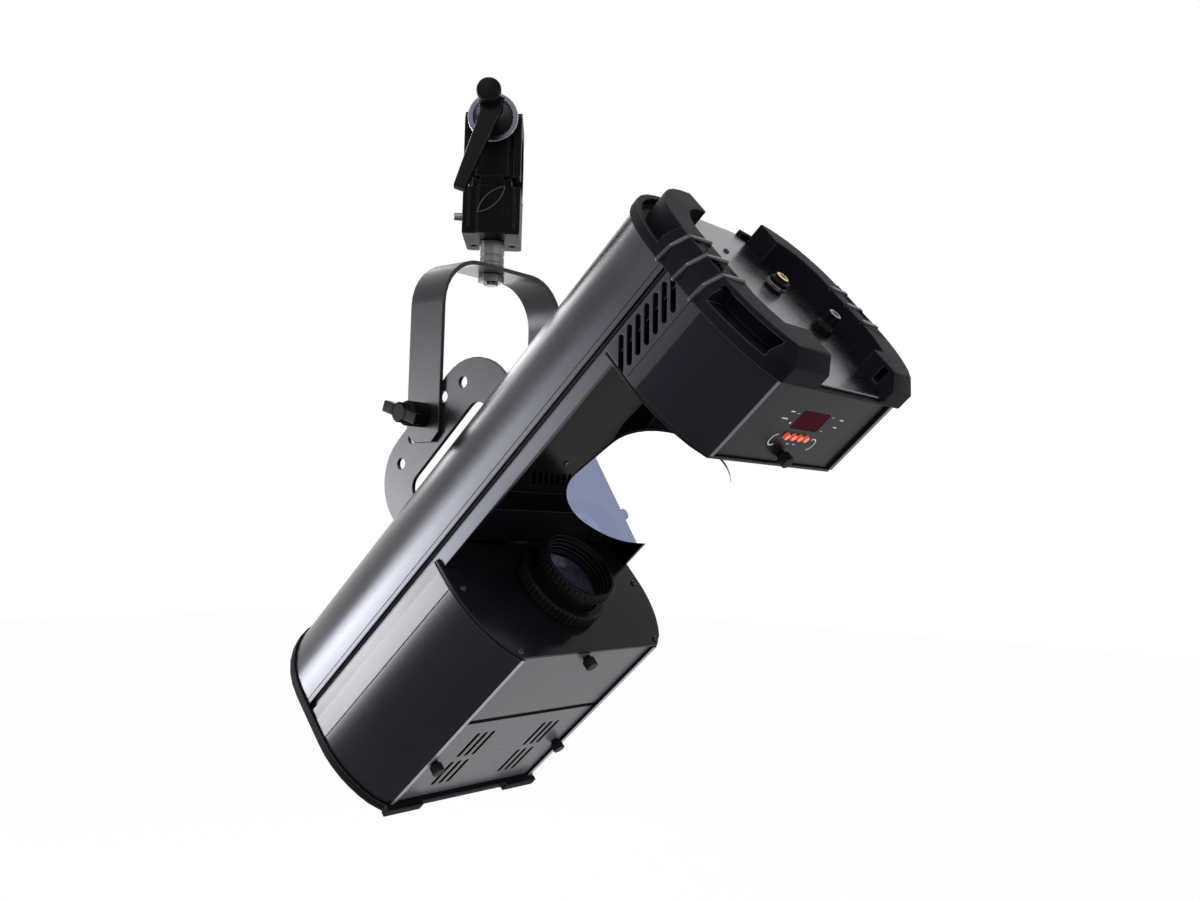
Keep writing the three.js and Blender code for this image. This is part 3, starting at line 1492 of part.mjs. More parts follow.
function buildLamp() {
  const back = reflectorBack - seatGap;
  return turned([
    [0, back], [burnerRadius - runningGap, back], [burnerRadius, back + burnerRadius],
    [burnerRadius, back + burnerLength - burnerRadius], [burnerRadius / 2, back + burnerLength - runningGap],
    [0, back + burnerLength],
  ], 20);
}
addMesh(opticFrame, 'lamp', buildLamp(), glass());

function buildLampHolder() {
  const front = reflectorBack - 2 * seatGap;
  const back = front - lampBaseLength;
  const base = block(
    -lampBaseWidth / 2, lampBaseWidth / 2, back, front, -lampBaseHeight / 2, lampBaseHeight / 2,
  );
  const legInner = reflectorRadius + lampStirrupGap;
  const legs = [-1, 1].map((side) => {
    const a = side * legInner;
    const b = side * (legInner + sheet);
    return block(
      Math.min(a, b), Math.max(a, b), back, shieldAlong - seatGap, -lampBaseHeight / 2, lampBaseHeight / 2,
    );
  });
  const bridge = block(
    -legInner - sheet / 2, legInner + sheet / 2, back, back + sheet, -lampBaseHeight / 2, lampBaseHeight / 2,
  );
  return join(base, bridge, ...legs);
}
addMesh(opticFrame, 'lamp_holder', buildLampHolder(), ceramic());

// A wheel of eight places round a hub, on the axis of its motor, beside the lens axis
const wheelHoleCircle = (bodyHalfWidth - shellWall - wheelWallGap - wheelRim) / 2;
const wheelRadius = wheelHoleCircle + wheelRim;
const wheelMotorRadius = wheelHoleCircle - barrelOuterRadius - wheelMotorGap;

function buildWheel() {
  const holes = [circlePoints(0, 0, wheelShaftRadius + seatGap, 8)];
  for (let i = 0; i < wheelHoleCount; i += 1) {
    const angle = (360 * i) / wheelHoleCount + 180;
    const x = wheelHoleCircle * Math.cos(rad(angle));
    const z = wheelHoleCircle * Math.sin(rad(angle));
    holes.push(circlePoints(x, z, wheelHoleRadius, 12));
  }
  const disc = extrudeAlong(circlePoints(0, 0, wheelRadius, 30), 0, wheelThickness, holes);
  const hubHole = [circlePoints(0, 0, wheelShaftRadius + seatGap, 8)];
  const hub = extrudeAlong(
    circlePoints(0, 0, wheelHubRadius, 12), 0, wheelThickness + wheelHubLength, hubHole,
  );
  return join(disc, hub);
}

function buildWheelMotor(from, to, shaftFrom, shaftTo) {
  return join(
    rod('y', wheelMotorRadius, from, to, 0, 0, 24),
    rod('y', wheelShaftRadius, shaftFrom, shaftTo, 0, 0, 12),
  );
}

const goboWheel = addMesh(opticFrame, 'gobo_wheel', buildWheel(), zincPlate());
goboWheel.position.set(wheelHoleCircle, gobosAlong, 0);
const colourWheel = addMesh(opticFrame, 'colour_wheel', buildWheel(), glass());
colourWheel.position.set(wheelHoleCircle, coloursAlong, 0);

const goboMotorFrom = gobosAlong + wheelThickness + wheelHubLength + seatGap;
const goboMotor = addMesh(
  opticFrame, 'gobo_motor',
  buildWheelMotor(goboMotorFrom, lensPlateBack - seatGap, gobosAlong, goboMotorFrom + overrun), blackSteel(),
);
goboMotor.position.set(wheelHoleCircle, 0, 0);
const colourMotorTo = coloursAlong - seatGap;
const colourMotor = addMesh(
  opticFrame, 'colour_motor',
  buildWheelMotor(
    shieldAlong + sheet + seatGap, colourMotorTo, colourMotorTo - overrun,
    coloursAlong + wheelThickness + wheelHubLength,
  ),
  blackSteel(),
);
colourMotor.position.set(wheelHoleCircle, 0, 0);

// Fan behind the grille of the lamp end cap
const fanFrame = new THREE.Group();
fanFrame.position.set(0, lampEnd - lampCapDepth + lampCapWall, -lensAxisDepth);
fixture.add(fanFrame);

function buildFanFrame() {
  const half = fanSize / 2;
  const tunnel = circlePoints(0, 0, fanBore, 30);
  const frame = extrudeAlong(roundedBox(-half, half, -half, half, fanStrutWidth, 2), 0, fanDepth, [tunnel]);
  const strutBack = fanDepth - fanStrutWidth / 2;
  const struts = [0, 60, 120].map((angle) => block(
    -fanBore - fanStrutWidth / 4, fanBore + fanStrutWidth / 4, strutBack, fanDepth, -fanStrutWidth / 2,
    fanStrutWidth / 2,
  ).rotateY(rad(angle)));
  const hub = rod('y', fanHubRadius, strutBack, fanDepth, 0, 0, 24);
  const pin = rod('y', fanPinRadius, fanStrutWidth, fanDepth - fanStrutWidth / 4, 0, 0, 12);
  return join(frame, ...struts, hub, pin);
}

function buildFanRotor() {
  const back = fanDepth - fanStrutWidth / 2 - runningGap;
  const front = fanStrutWidth / 3;
  const hub = rod('y', fanHubRadius, front, back, 0, 0, 24);
  const tip = fanBore - 2 * runningGap;
  const length = tip - fanHubRadius / 2;
  const blades = [];
  for (let i = 0; i < fanBladeCount; i += 1) {
    const chord = (back - front) * fanChordShare;
    const blade = block(
      -fanBladeThickness / 2, fanBladeThickness / 2, -chord / 2, chord / 2, 0, length,
    ).rotateZ(rad(fanBladePitch)).translate(0, (back + front) / 2, fanHubRadius / 2);
    blades.push(blade.rotateY(rad((360 * i) / fanBladeCount)));
  }
  const limit = rod('y', tip, front, back, 0, 0, 28);
  const bore = rod('y', fanPinRadius + seatGap, fanStrutWidth - runningGap, back + overrun, 0, 0, 16);
  return cut(common(join(hub, ...blades), limit), bore);
}
addMesh(fanFrame, 'fan_frame', buildFanFrame(), blackPlastic());
addMesh(fanFrame, 'fan_rotor', buildFanRotor(), blackPlastic());

// Transformer in the spine: a laminated core with its coil
function buildTransformer() {
  const top = backHeight - shellWall - seatGap;
  const low = transformerAlong - transformerLength / 2;
  const core = block(
    -transformerWidth / 2, transformerWidth / 2, low, low + transformerLength, top - transformerHeight, top,
  );
  const share = transformerCoilShare;
  const coil = block(
    (-transformerWidth / 2) * share, (transformerWidth / 2) * share,
    low - overrun, low + transformerLength + overrun,
    top - transformerHeight + overrun, top - overrun,
  );
  return join(core, coil);
}
addMesh(fixture, 'transformer', buildTransformer(), blackSteel());

export default group;
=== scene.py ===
import json
from math import asin, atan2, cos, pi, radians, sin

import bmesh
import bpy
from mathutils import Matrix, Vector
from mathutils.bvhtree import BVHTree


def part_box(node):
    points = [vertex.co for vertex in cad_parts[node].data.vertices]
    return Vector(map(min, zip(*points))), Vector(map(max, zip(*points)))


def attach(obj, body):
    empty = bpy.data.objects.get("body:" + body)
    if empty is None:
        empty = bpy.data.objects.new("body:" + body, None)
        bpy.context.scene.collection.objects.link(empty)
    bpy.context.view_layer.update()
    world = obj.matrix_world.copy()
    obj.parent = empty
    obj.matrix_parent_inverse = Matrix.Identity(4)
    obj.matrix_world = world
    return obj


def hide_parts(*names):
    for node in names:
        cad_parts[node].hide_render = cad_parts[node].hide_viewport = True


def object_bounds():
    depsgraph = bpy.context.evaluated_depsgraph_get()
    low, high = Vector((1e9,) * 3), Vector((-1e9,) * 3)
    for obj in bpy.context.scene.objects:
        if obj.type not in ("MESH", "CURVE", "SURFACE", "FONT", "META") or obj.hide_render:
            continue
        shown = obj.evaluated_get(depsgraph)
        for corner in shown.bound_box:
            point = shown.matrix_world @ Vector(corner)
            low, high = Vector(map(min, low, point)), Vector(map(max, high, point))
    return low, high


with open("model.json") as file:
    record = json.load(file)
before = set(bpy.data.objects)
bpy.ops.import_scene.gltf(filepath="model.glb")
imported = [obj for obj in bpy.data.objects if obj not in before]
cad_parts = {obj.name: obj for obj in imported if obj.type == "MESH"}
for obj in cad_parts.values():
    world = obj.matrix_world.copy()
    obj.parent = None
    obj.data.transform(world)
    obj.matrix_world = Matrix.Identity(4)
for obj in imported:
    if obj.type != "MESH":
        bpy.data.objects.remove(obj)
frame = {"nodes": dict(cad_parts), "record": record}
cadBox = [list(corner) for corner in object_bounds()]
record = frame["record"]
slotOf = {part["node"]: part["material_slot"] for part in record["subparts"]}
bodyOf = {node: body for body, nodes in record["behaviour"]["bodies"].items() for node in nodes}
print("stage: frame loaded,", len(frame["nodes"]), "parts")

mm = 0.001

# The lamp body's own axes, across, along and up from the cover, and the clamp's
lampBody = Matrix((
    (-1, 0, 0, 0),
    (0, -0.73963, 0.67301, -0.052728),
    (0, 0.67301, 0.73963, -0.270547),
    (0, 0, 0, 1),
)) @ Matrix.Scale(mm, 4)
clampAxes = Matrix((
    (0.66262, 0.74896, 0, 0),
    (-0.74896, 0.66262, 0, 0),
    (0, 0, 1, 0),
    (0, 0, 0, 1),
)) @ Matrix.Scale(mm, 4)

cameraSetup = {
    "place": (-0.6849, -0.6868, -0.3051),
    "aim": (0.7707, 0.6335, 0.0692),
    "roll": 1.45,
    "lens": 34.72,
    "sensor": 36,
    "clipStart": 0.01,
}


def addCamera():
    aim = Vector(cameraSetup["aim"]).normalized()
    level = aim.cross(Vector((0, 0, 1))).normalized()
    upright = level.cross(aim)
    turn = radians(cameraSetup["roll"])
    right = level * cos(turn) + upright * sin(turn)
    up = right.cross(aim)
    data = bpy.data.cameras.new("viewCamera")
    data.lens = cameraSetup["lens"]
    data.sensor_width = cameraSetup["sensor"]
    data.clip_start = cameraSetup["clipStart"]
    camera = bpy.data.objects.new("viewCamera", data)
    turned = Matrix((right, up, -aim)).transposed().to_4x4()
    camera.matrix_world = Matrix.Translation(cameraSetup["place"]) @ turned
    bpy.context.collection.objects.link(camera)
    bpy.context.scene.camera = camera


addCamera()
print("stage: camera")


class Wire:  # a shader socket that Python operators can work on
    def __init__(self, tree, socket=None):
        self.tree = tree
        self.socket = socket

    def add(self, kind, settings=None, inlets=None, outlet=0):
        node = self.tree.nodes.new(kind)
        for name, value in (settings or {}).items():
            setattr(node, name, value)
        for name, value in (inlets or {}).items():
            if isinstance(value, Wire):
                self.tree.links.new(value.socket, node.inputs[name])
            else:
                node.inputs[name].default_value = value
        return Wire(self.tree, node.outputs[outlet])

    def maths(self, operation, first, second):
        return self.add("ShaderNodeMath", {"operation": operation}, {0: first, 1: second})

    def __add__(self, other):
        return self.maths("ADD", self, other)

    def __radd__(self, other):
        return self.maths("ADD", other, self)

    def __sub__(self, other):
        return self.maths("SUBTRACT", self, other)

    def __rsub__(self, other):
        return self.maths("SUBTRACT", other, self)

    def __mul__(self, other):
        return self.maths("MULTIPLY", self, other)

    def __rmul__(self, other):
        return self.maths("MULTIPLY", other, self)

    def clamp(self):
        return self.add("ShaderNodeClamp", {}, {0: self})

    def blend(self, first, second):  # colours, by this value
        return self.add("ShaderNodeMix", {"data_type": "RGBA"}, {0: self, 6: first, 7: second}, 2)

    def dot(self, other):
        return self.add("ShaderNodeVectorMath", {"operation": "DOT_PRODUCT"}, {0: self, 1: other}, 1)

    def noise(self, scale, detail=3.0):
        return self.add("ShaderNodeTexNoise", {}, {"Vector": self, "Scale": scale, "Detail": detail})

    def stretch(self, turn, factors):
        settings = {"vector_type": "TEXTURE"}
        return self.add("ShaderNodeMapping", settings, {"Vector": self, "Rotation": turn, "Scale": factors})


def tone(red, green, blue):
    return (red, green, blue, 1)


bodyTilt = (radians(137.7), 0, 0)
clampTurn = (0, 0, radians(-48.5))
noTurn = (0, 0, 0)

# Every finish: the two tones it varies between, its roughness range, grain and cloud size, bump, and its edge tone,
# partly wear and partly a painted highlight along the edges
# Some also have a refractive index (bend), a glow that is painted light, not a lamp (paintedGlow), or a painted
# sheen of lighter metal that fades into paint (paintedSheen)
finishes = {
    "anodised": {
        "dark": tone(0.042, 0.043, 0.050), "light": tone(0.060, 0.061, 0.069), "metallic": 1.0,
        "specular": 0.5, "rough": (0.22, 0.32), "turn": bodyTilt, "stretch": (1, 25, 1), "grain": 600,
        "cloud": 9, "bump": 0.015, "height": 0.0002, "edge": tone(0.16, 0.165, 0.18), "edgeSize": 0.0007,
        "edgeWearAndHighlightGain": 3.0, "coat": 0.0, "grainShare": 0.12,
    },
    "black_sheet": {
        "dark": tone(0.004, 0.004, 0.005), "light": tone(0.008, 0.008, 0.010), "metallic": 0.0,
        "specular": 0.14, "rough": (0.12, 0.20), "turn": bodyTilt, "stretch": (1, 1, 1), "grain": 1500,
        "cloud": 14, "bump": 0.05, "height": 0.0002, "edge": tone(0.09, 0.09, 0.1), "edgeSize": 0.0006,
        "edgeWearAndHighlightGain": 2.5, "coat": 0.0, "bend": 1.35,
    },
    "cover_paint": {
        "dark": tone(0.070, 0.070, 0.076), "light": tone(0.092, 0.092, 0.100), "metallic": 0.0,
        "specular": 0.4, "rough": (0.30, 0.40), "turn": bodyTilt, "stretch": (1, 1, 1), "grain": 1300,
        "cloud": 12, "bump": 0.10, "height": 0.0002, "edge": tone(0.2, 0.2, 0.21), "edgeSize": 0.0005,
        "edgeWearAndHighlightGain": 2.5, "coat": 0.0,
    },
    "cap_plastic": {
        "dark": tone(0.005, 0.005, 0.007), "light": tone(0.009, 0.009, 0.012), "metallic": 0.0,
        "specular": 0.1, "rough": (0.38, 0.52), "turn": noTurn, "stretch": (1, 1, 1), "grain": 1100,
        "cloud": 20, "bump": 0.22, "height": 0.0003, "edge": tone(0.16, 0.16, 0.17), "edgeSize": 0.0009,
        "edgeWearAndHighlightGain": 3.0, "coat": 0.0, "bend": 1.22,
    },
    "black_plastic": {
        "dark": tone(0.003, 0.003, 0.004), "light": tone(0.007, 0.007, 0.008), "metallic": 0.0,
        "specular": 0.12, "rough": (0.18, 0.30), "turn": noTurn, "stretch": (1, 1, 1), "grain": 1400,
        "cloud": 25, "bump": 0.12, "height": 0.0002, "edge": tone(0.12, 0.12, 0.13), "edgeSize": 0.0006,
        "edgeWearAndHighlightGain": 2.0, "coat": 0.0, "bend": 1.25,
    },
    "black_steel": {
        "dark": tone(0.026, 0.026, 0.029), "light": tone(0.038, 0.038, 0.042), "metallic": 0.75,
        "specular": 0.4, "rough": (0.24, 0.34), "turn": noTurn, "stretch": (1, 1, 1), "grain": 1200,
        "cloud": 16, "bump": 0.14, "height": 0.0002, "edge": tone(0.12, 0.12, 0.13), "edgeSize": 0.0006,
        "edgeWearAndHighlightGain": 3.0, "coat": 0.0,
    },
    "black_casting": {
        "dark": tone(0.002, 0.002, 0.003), "light": tone(0.005, 0.005, 0.006), "metallic": 0.0,
        "specular": 0.1, "rough": (0.34, 0.46), "turn": clampTurn, "stretch": (1, 1, 1), "grain": 700,
        "cloud": 30, "bump": 0.25, "height": 0.0004, "edge": tone(0.16, 0.16, 0.17), "edgeSize": 0.0008,
        "edgeWearAndHighlightGain": 3.0, "coat": 0.0, "bend": 1.3,
    },
    "bright_steel": {
        "dark": tone(0.08, 0.08, 0.085), "light": tone(0.20, 0.20, 0.21), "metallic": 1.0,
        "specular": 0.5, "rough": (0.22, 0.38), "turn": noTurn, "stretch": (1, 1, 0.15), "grain": 900,
        "cloud": 60, "bump": 0.15, "height": 0.0002, "edge": tone(0.7, 0.7, 0.71), "edgeSize": 0.0005,
        "edgeWearAndHighlightGain": 2.0, "coat": 0.0,
    },
    "zinc_sheet": {
        "dark": tone(0.13, 0.133, 0.145), "light": tone(0.21, 0.215, 0.235), "metallic": 1.0,
        "specular": 0.5, "rough": (0.20, 0.32), "turn": bodyTilt, "stretch": (1, 1, 1), "grain": 600,
        "cloud": 40, "bump": 0.02, "height": 0.0001, "edge": tone(0.75, 0.75, 0.77), "edgeSize": 0.0004,
        "edgeWearAndHighlightGain": 2.0, "coat": 0.0,
    },
    "mirror_coat": {
        "dark": tone(0.90, 0.92, 0.94), "light": tone(0.95, 0.96, 0.97), "metallic": 1.0,
        "specular": 0.5, "rough": (0.01, 0.03), "turn": noTurn, "stretch": (1, 1, 1), "grain": 60,
        "cloud": 12, "bump": 0.0, "height": 0.0001, "edge": tone(0.95, 0.96, 0.97), "edgeSize": 0.0003,
        # Its glow is a painted reflection: a blue-grey veil of light laid over the mirror
        "edgeWearAndHighlightGain": 0.0, "coat": 0.0, "paintedGlow": tone(0.21, 0.24, 0.36),
    },
    "window_red": {
        "dark": tone(0.045, 0.001, 0.005), "light": tone(0.065, 0.002, 0.008), "metallic": 0.0,
        "specular": 0.03, "rough": (0.06, 0.12), "turn": bodyTilt, "stretch": (1, 1, 1), "grain": 300,
        "cloud": 60, "bump": 0.02, "height": 0.0001, "edge": tone(0.2, 0.02, 0.03), "edgeSize": 0.0004,
        "edgeWearAndHighlightGain": 1.5, "coat": 0.0, "bend": 1.2,
    },
    "button_red": {
        "dark": tone(0.80, 0.12, 0.05), "light": tone(1.0, 0.30, 0.18), "metallic": 0.0,
        "specular": 0.5, "rough": (0.25, 0.35), "turn": bodyTilt, "stretch": (1, 1, 1), "grain": 900,
        "cloud": 90, "bump": 0.05, "height": 0.0001, "edge": tone(1.0, 0.7, 0.6), "edgeSize": 0.0003,
        # Its glow is painted light on the buttons, which are no lamps
        "edgeWearAndHighlightGain": 2.0, "coat": 0.2, "paintedGlow": tone(0.25, 0.03, 0.01),
    },
    "board_green": {
        "dark": tone(0.006, 0.045, 0.018), "light": tone(0.012, 0.085, 0.035), "metallic": 0.0,
        "specular": 0.5, "rough": (0.30, 0.45), "turn": bodyTilt, "stretch": (4, 1, 1), "grain": 500,
        "cloud": 180, "bump": 0.1, "height": 0.0001, "edge": tone(0.45, 0.38, 0.2), "edgeSize": 0.0003,
        "edgeWearAndHighlightGain": 1.5, "coat": 0.1,
    },
    "ceramic": {
        "dark": tone(0.62, 0.58, 0.50), "light": tone(0.76, 0.73, 0.66), "metallic": 0.0,
        "specular": 0.4, "rough": (0.50, 0.65), "turn": noTurn, "stretch": (1, 1, 1), "grain": 1500,
        "cloud": 120, "bump": 0.15, "height": 0.0002, "edge": tone(0.85, 0.83, 0.78), "edgeSize": 0.0005,
        "edgeWearAndHighlightGain": 1.5, "coat": 0.0,
    },
}

# How the fine grain and the wide clouds make up every finish
patternMix = {
    "grainShare": 0.35, "level": 0.28, "gain": 2.2, "grainDetail": 2.0, "cloudDetail": 4.0, "wearAndHighlightLevel": 0.4,
    "bevelSamples": 4, "coatRough": 0.15, "bend": 1.5, "glow": 1.0,
}


def startMaterial(name):
    material = bpy.data.materials.new(name)
    material.use_nodes = True
    tree = material.node_tree
    tree.nodes.clear()
    shader = tree.nodes.new("ShaderNodeBsdfPrincipled")
    outlet = tree.nodes.new("ShaderNodeOutputMaterial")
    tree.links.new(shader.outputs[0], outlet.inputs["Surface"])
    place = Wire(tree).add("ShaderNodeTexCoord", outlet="Object")
    return material, shader, place


def feed(shader, name, value):
    if isinstance(value, Wire):
        value.tree.links.new(value.socket, shader.inputs[name])
    else:
        shader.inputs[name].default_value = value


def surfaceFinish(name, look):
    material, shader, place = startMaterial(name)
    grain = place.stretch(look["turn"], look["stretch"]).noise(look["grain"], patternMix["grainDetail"])
    cloud = place.noise(look["cloud"], patternMix["cloudDetail"])
    share = look.get("grainShare", patternMix["grainShare"])
    spread = cloud * (1 - share) + grain * share
    mixed = (spread - patternMix["level"]) * patternMix["gain"]
    rounded = place.add("ShaderNodeBevel", {"samples": patternMix["bevelSamples"]}, {"Radius": look["edgeSize"]})
    plain = place.add("ShaderNodeNewGeometry", outlet="Normal")
    metallic, paint = look["metallic"], mixed.clamp().blend(look["dark"], look["light"])
    # A painted sheen: lighter metal at the start of the axis that fades into the paint, standing in for the light
    # that falls there
    if "paintedSheen" in look:
        axis, start, end, bare = look["paintedSheen"]
        along = ((place.dot(axis) - start) * (1 / (end - start))).clamp()
        metallic = (1 - along) * (1 - along)
        paint = metallic.blend(paint, bare)
    # Edges and creases, found from the Bevel normal and broken up by the clouds, take the edge tone: partly wear,
    # partly a painted highlight
    wearAndHighlight = ((1 - rounded.dot(plain)) * look["edgeWearAndHighlightGain"] * (cloud + patternMix["wearAndHighlightLevel"])).clamp()
    low, high = look["rough"]
    feed(shader, "Base Color", wearAndHighlight.blend(paint, look["edge"]))
    feed(shader, "Roughness", spread * (2 * (high - low)) + (1.5 * low - 0.5 * high))  # noise keeps to 0.25 to 0.75
    feed(shader, "Metallic", metallic)
    feed(shader, "Specular IOR Level", look["specular"])
    feed(shader, "Coat Weight", look["coat"])
    feed(shader, "Coat Roughness", patternMix["coatRough"])
    feed(shader, "IOR", look.get("bend", patternMix["bend"]))
    # A glow colour paints light onto the surface: a painted reflection on the mirror, a painted lit look on the
    # buttons
    if "paintedGlow" in look:
        feed(shader, "Emission Color", look["paintedGlow"])
        feed(shader, "Emission Strength", patternMix["glow"])
    inlets = {"Strength": look["bump"], "Distance": look["height"], "Height": grain, "Normal": rounded}
    feed(shader, "Normal", place.add("ShaderNodeBump", {}, inlets))
    return material


lensGlass = {
    "clear": tone(0.72, 0.78, 0.9), "tinted": tone(0.5, 0.42, 0.75), "transmission": 0.95, "bend": 1.5,
    "facing": 0.4, "facingShare": 0.8, "dust": 260, "dustDetail": 4.0, "dustShare": 0.2, "dustRough": 0.04,
}


def glassFinish(name, look):
    material, shader, place = startMaterial(name)
    facing = place.add("ShaderNodeLayerWeight", {}, {"Blend": look["facing"]}, "Facing")
    dust = place.noise(look["dust"], look["dustDetail"])
    coating = (facing * look["facingShare"] + dust * look["dustShare"]).clamp()
    feed(shader, "Base Color", coating.blend(look["clear"], look["tinted"]))
    feed(shader, "Roughness", dust * look["dustRough"])
    feed(shader, "Transmission Weight", look["transmission"])
    feed(shader, "IOR", look["bend"])
    return material


materials = {slot: surfaceFinish(slot, look) for slot, look in finishes.items()}
materials["lens_glass"] = glassFinish("lens_glass", lensGlass)

# Under the flats the lamp sides carry a painted sheen: a lighter, metallic colour that fades into the dark paint
# along the body's depth, in millimetres
paintedSheenFade = {"start": -76, "length": 22, "bare": tone(0.062, 0.063, 0.067)}
depthAxis = -lampBody.to_3x3().col[2].normalized()
fadeStart = depthAxis.dot(lampBody @ Vector((0, 0, paintedSheenFade["start"])))
satinSheet = {
    **finishes["anodised"], "dark": tone(0.004, 0.0044, 0.0075), "light": tone(0.0075, 0.008, 0.013),
    "metallic": 0.0, "specular": 0.2, "rough": (0.24, 0.34), "edge": tone(0.12, 0.125, 0.14), "bend": 1.35,
    "grainShare": 0.05,
}

# Finishes of single pieces and of chosen faces, which share a slot with a main finish
extraLooks = {
    "printedWhite": {**finishes["ceramic"], "dark": tone(0.6, 0.6, 0.6), "light": tone(0.78, 0.78, 0.78)},
    "mirrorBack": {**finishes["black_steel"], "dark": tone(0.10, 0.10, 0.11), "light": tone(0.15, 0.15, 0.16)},
    # Near black for the dark joint lines, and painted shade in the vent slots and over the gap between the covers
    "darkJointsAndShade": {**finishes["black_plastic"], "light": tone(0.005, 0.005, 0.005), "specular": 0.02, "bend": 1.1},
    "ventPaint": {**finishes["cover_paint"], "dark": tone(0.094, 0.092, 0.102), "light": tone(0.118, 0.116, 0.128)},
    "lampRim": {
        **finishes["anodised"], "dark": tone(0.30, 0.30, 0.33), "light": tone(0.38, 0.38, 0.42), "metallic": 0.6,
        "rough": (0.3, 0.4),
    },
    "washerSteel": {
        **finishes["zinc_sheet"], "dark": tone(0.060, 0.066, 0.085), "light": tone(0.105, 0.112, 0.14),
        "rough": (0.18, 0.28), "edge": tone(0.75, 0.76, 0.8), "edgeSize": 0.0012, "edgeWearAndHighlightGain": 6.0,
    },
    "satinSide": satinSheet,
    "lampSheet": {
        **satinSheet, "paintedSheen": (depthAxis, fadeStart, fadeStart + paintedSheenFade["length"] * mm, paintedSheenFade["bare"]),
    },
    "rimEdge": {
        **finishes["anodised"], "dark": tone(0.08, 0.08, 0.09), "light": tone(0.11, 0.11, 0.122),
        "metallic": 0.6, "rough": (0.3, 0.4),
    },
    "headFlat": {
        **finishes["anodised"], "dark": tone(0.010, 0.011, 0.015), "light": tone(0.018, 0.019, 0.024),
        "metallic": 0.5, "rough": (0.3, 0.4),
    },
    "displayPaint": {
        **finishes["cover_paint"], "dark": tone(0.005, 0.005, 0.007), "light": tone(0.009, 0.009, 0.012),
        "specular": 0.25, "bend": 1.3,
    },
    "brightFlat": {
        **finishes["anodised"], "dark": tone(0.055, 0.055, 0.058), "light": tone(0.072, 0.072, 0.076),
        "metallic": 0.9, "rough": (0.22, 0.3), "edge": tone(0.7, 0.7, 0.72),
    },
    # A lighter copy of the casting: a painted highlight on the clamp's raised rim
    "leafHighlight": {**finishes["black_casting"], "dark": tone(0.05, 0.05, 0.055), "light": tone(0.08, 0.08, 0.085)},
    "ribGloss": {
        **finishes["cap_plastic"], "rough": (0.12, 0.2), "bump": 0.03, "edge": tone(0.5, 0.5, 0.52), "bend": 1.5,
        "specular": 0.6,
    },
    # Gold for the socket pins, and a painted orange glint on the fuse's rim
    "goldPinAndGlint": {**finishes["bright_steel"], "dark": tone(0.62, 0.45, 0.18), "light": tone(0.8, 0.62, 0.28)},
}
materials.update({name: surfaceFinish(name, look) for name, look in extraLooks.items()})
print("stage: finishes,", len(materials))

# In degrees: a shaded edge shows from crease, an edge is rounded from turn, and faces within flat are joined
edgeSetup = {"crease": 32, "turn": 38, "segments": 2, "flat": 0.4, "weld": 0.000002}


def keepPiece(mesh, name, body, slot, finish=None, stands=()):
    for face in mesh.faces:
        face.smooth = True
    for edge in mesh.edges:
        edge.smooth = len(edge.link_faces) == 2 and edge.calc_face_angle(0) < radians(edgeSetup["crease"])
    data = bpy.data.meshes.new(name)
    mesh.to_mesh(data)
    mesh.free()
    data.materials.append(materials[finish or slot])
    piece = bpy.data.objects.new(name, data)
    bpy.context.collection.objects.link(piece)
    even = piece.modifiers.new("evenShading", "WEIGHTED_NORMAL")
    even.keep_sharp = True
    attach(piece, body)
    if stands:
        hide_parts(*stands)
    return piece


def mergedCopy(node):
    mesh = bmesh.new()
    mesh.from_mesh(frame["nodes"][node].data)
    bmesh.ops.remove_doubles(mesh, verts=mesh.verts, dist=edgeSetup["weld"])
    bmesh.ops.dissolve_limit(mesh, angle_limit=radians(edgeSetup["flat"]), verts=mesh.verts, edges=mesh.edges)
    return mesh


def softenEdges(mesh, size, turn=edgeSetup["turn"], segments=edgeSetup["segments"]):
    hard = [edge for edge in mesh.edges if len(edge.link_faces) == 2 and edge.calc_face_angle(0) > radians(turn)]
    bmesh.ops.bevel(
        mesh, geom=hard, offset=size, offset_type="OFFSET", segments=segments, profile=0.5,
        affect="EDGES", clamp_overlap=False, material=-1,
    )


def dress(node, size, finish=None):
    mesh = mergedCopy(node)
    softenEdges(mesh, size * mm)
    return keepPiece(mesh, node + "_dressed", bodyOf[node], slotOf[node], finish, (node,))


# How far the edges of each part are rounded, in millimetres
edgeRounds = {
    "clamp_body": 0.7, "clamp_jaw": 0.7, "clamp_lever": 1.2, "lever_washer": 0.4,
    "hanging_nut": 0.15, "swing_bolt": 0.3, "clamp_lock_screw": 0.3, "yoke": 0.5, "right_ear": 0.5,
    "left_ear": 0.5, "right_tilt_knob": 0.9, "left_tilt_knob": 0.9, "spine": 0.4, "right_lamp_side": 0.4,
    "left_lamp_side": 0.4, "right_head_side": 0.4, "left_head_side": 0.4, "lens_plate": 0.4,
    "lamp_cover_plate": 0.3, "vent_cover": 0.3, "lamp_cover_thumbscrew": 0.25,
    "right_vent_thumbscrew": 0.25, "left_vent_thumbscrew": 0.25, "display_panel_thumbscrew": 0.25,
    "tray_floor": 0.3, "head_front_plate": 0.4, "display_panel": 0.3, "display_window": 0.4, "button_1": 0.5,
    "button_2": 0.5, "button_3": 0.5, "button_4": 0.5, "control_board": 0.2, "head_end_cap": 0.9,
    "connector_plate": 0.3, "fuse_holder": 0.5, "cable_gland": 0.4, "dmx_in_socket": 0.4,
    "dmx_out_socket": 0.4, "lamp_end_cap": 0.8, "mirror_mount": 0.4, "mirror_bracket": 0.4,
    "tilt_motor": 0.6, "pan_motor": 0.8, "heat_shield": 0.3, "lamp_holder": 0.5, "gobo_wheel": 0.2,
    "gobo_motor": 0.5, "colour_motor": 0.5, "fan_frame": 0.6, "fan_rotor": 0.3, "transformer": 0.7,
}
lampSides = ("right_lamp_side", "left_lamp_side")
headSides = ("right_head_side", "left_head_side")
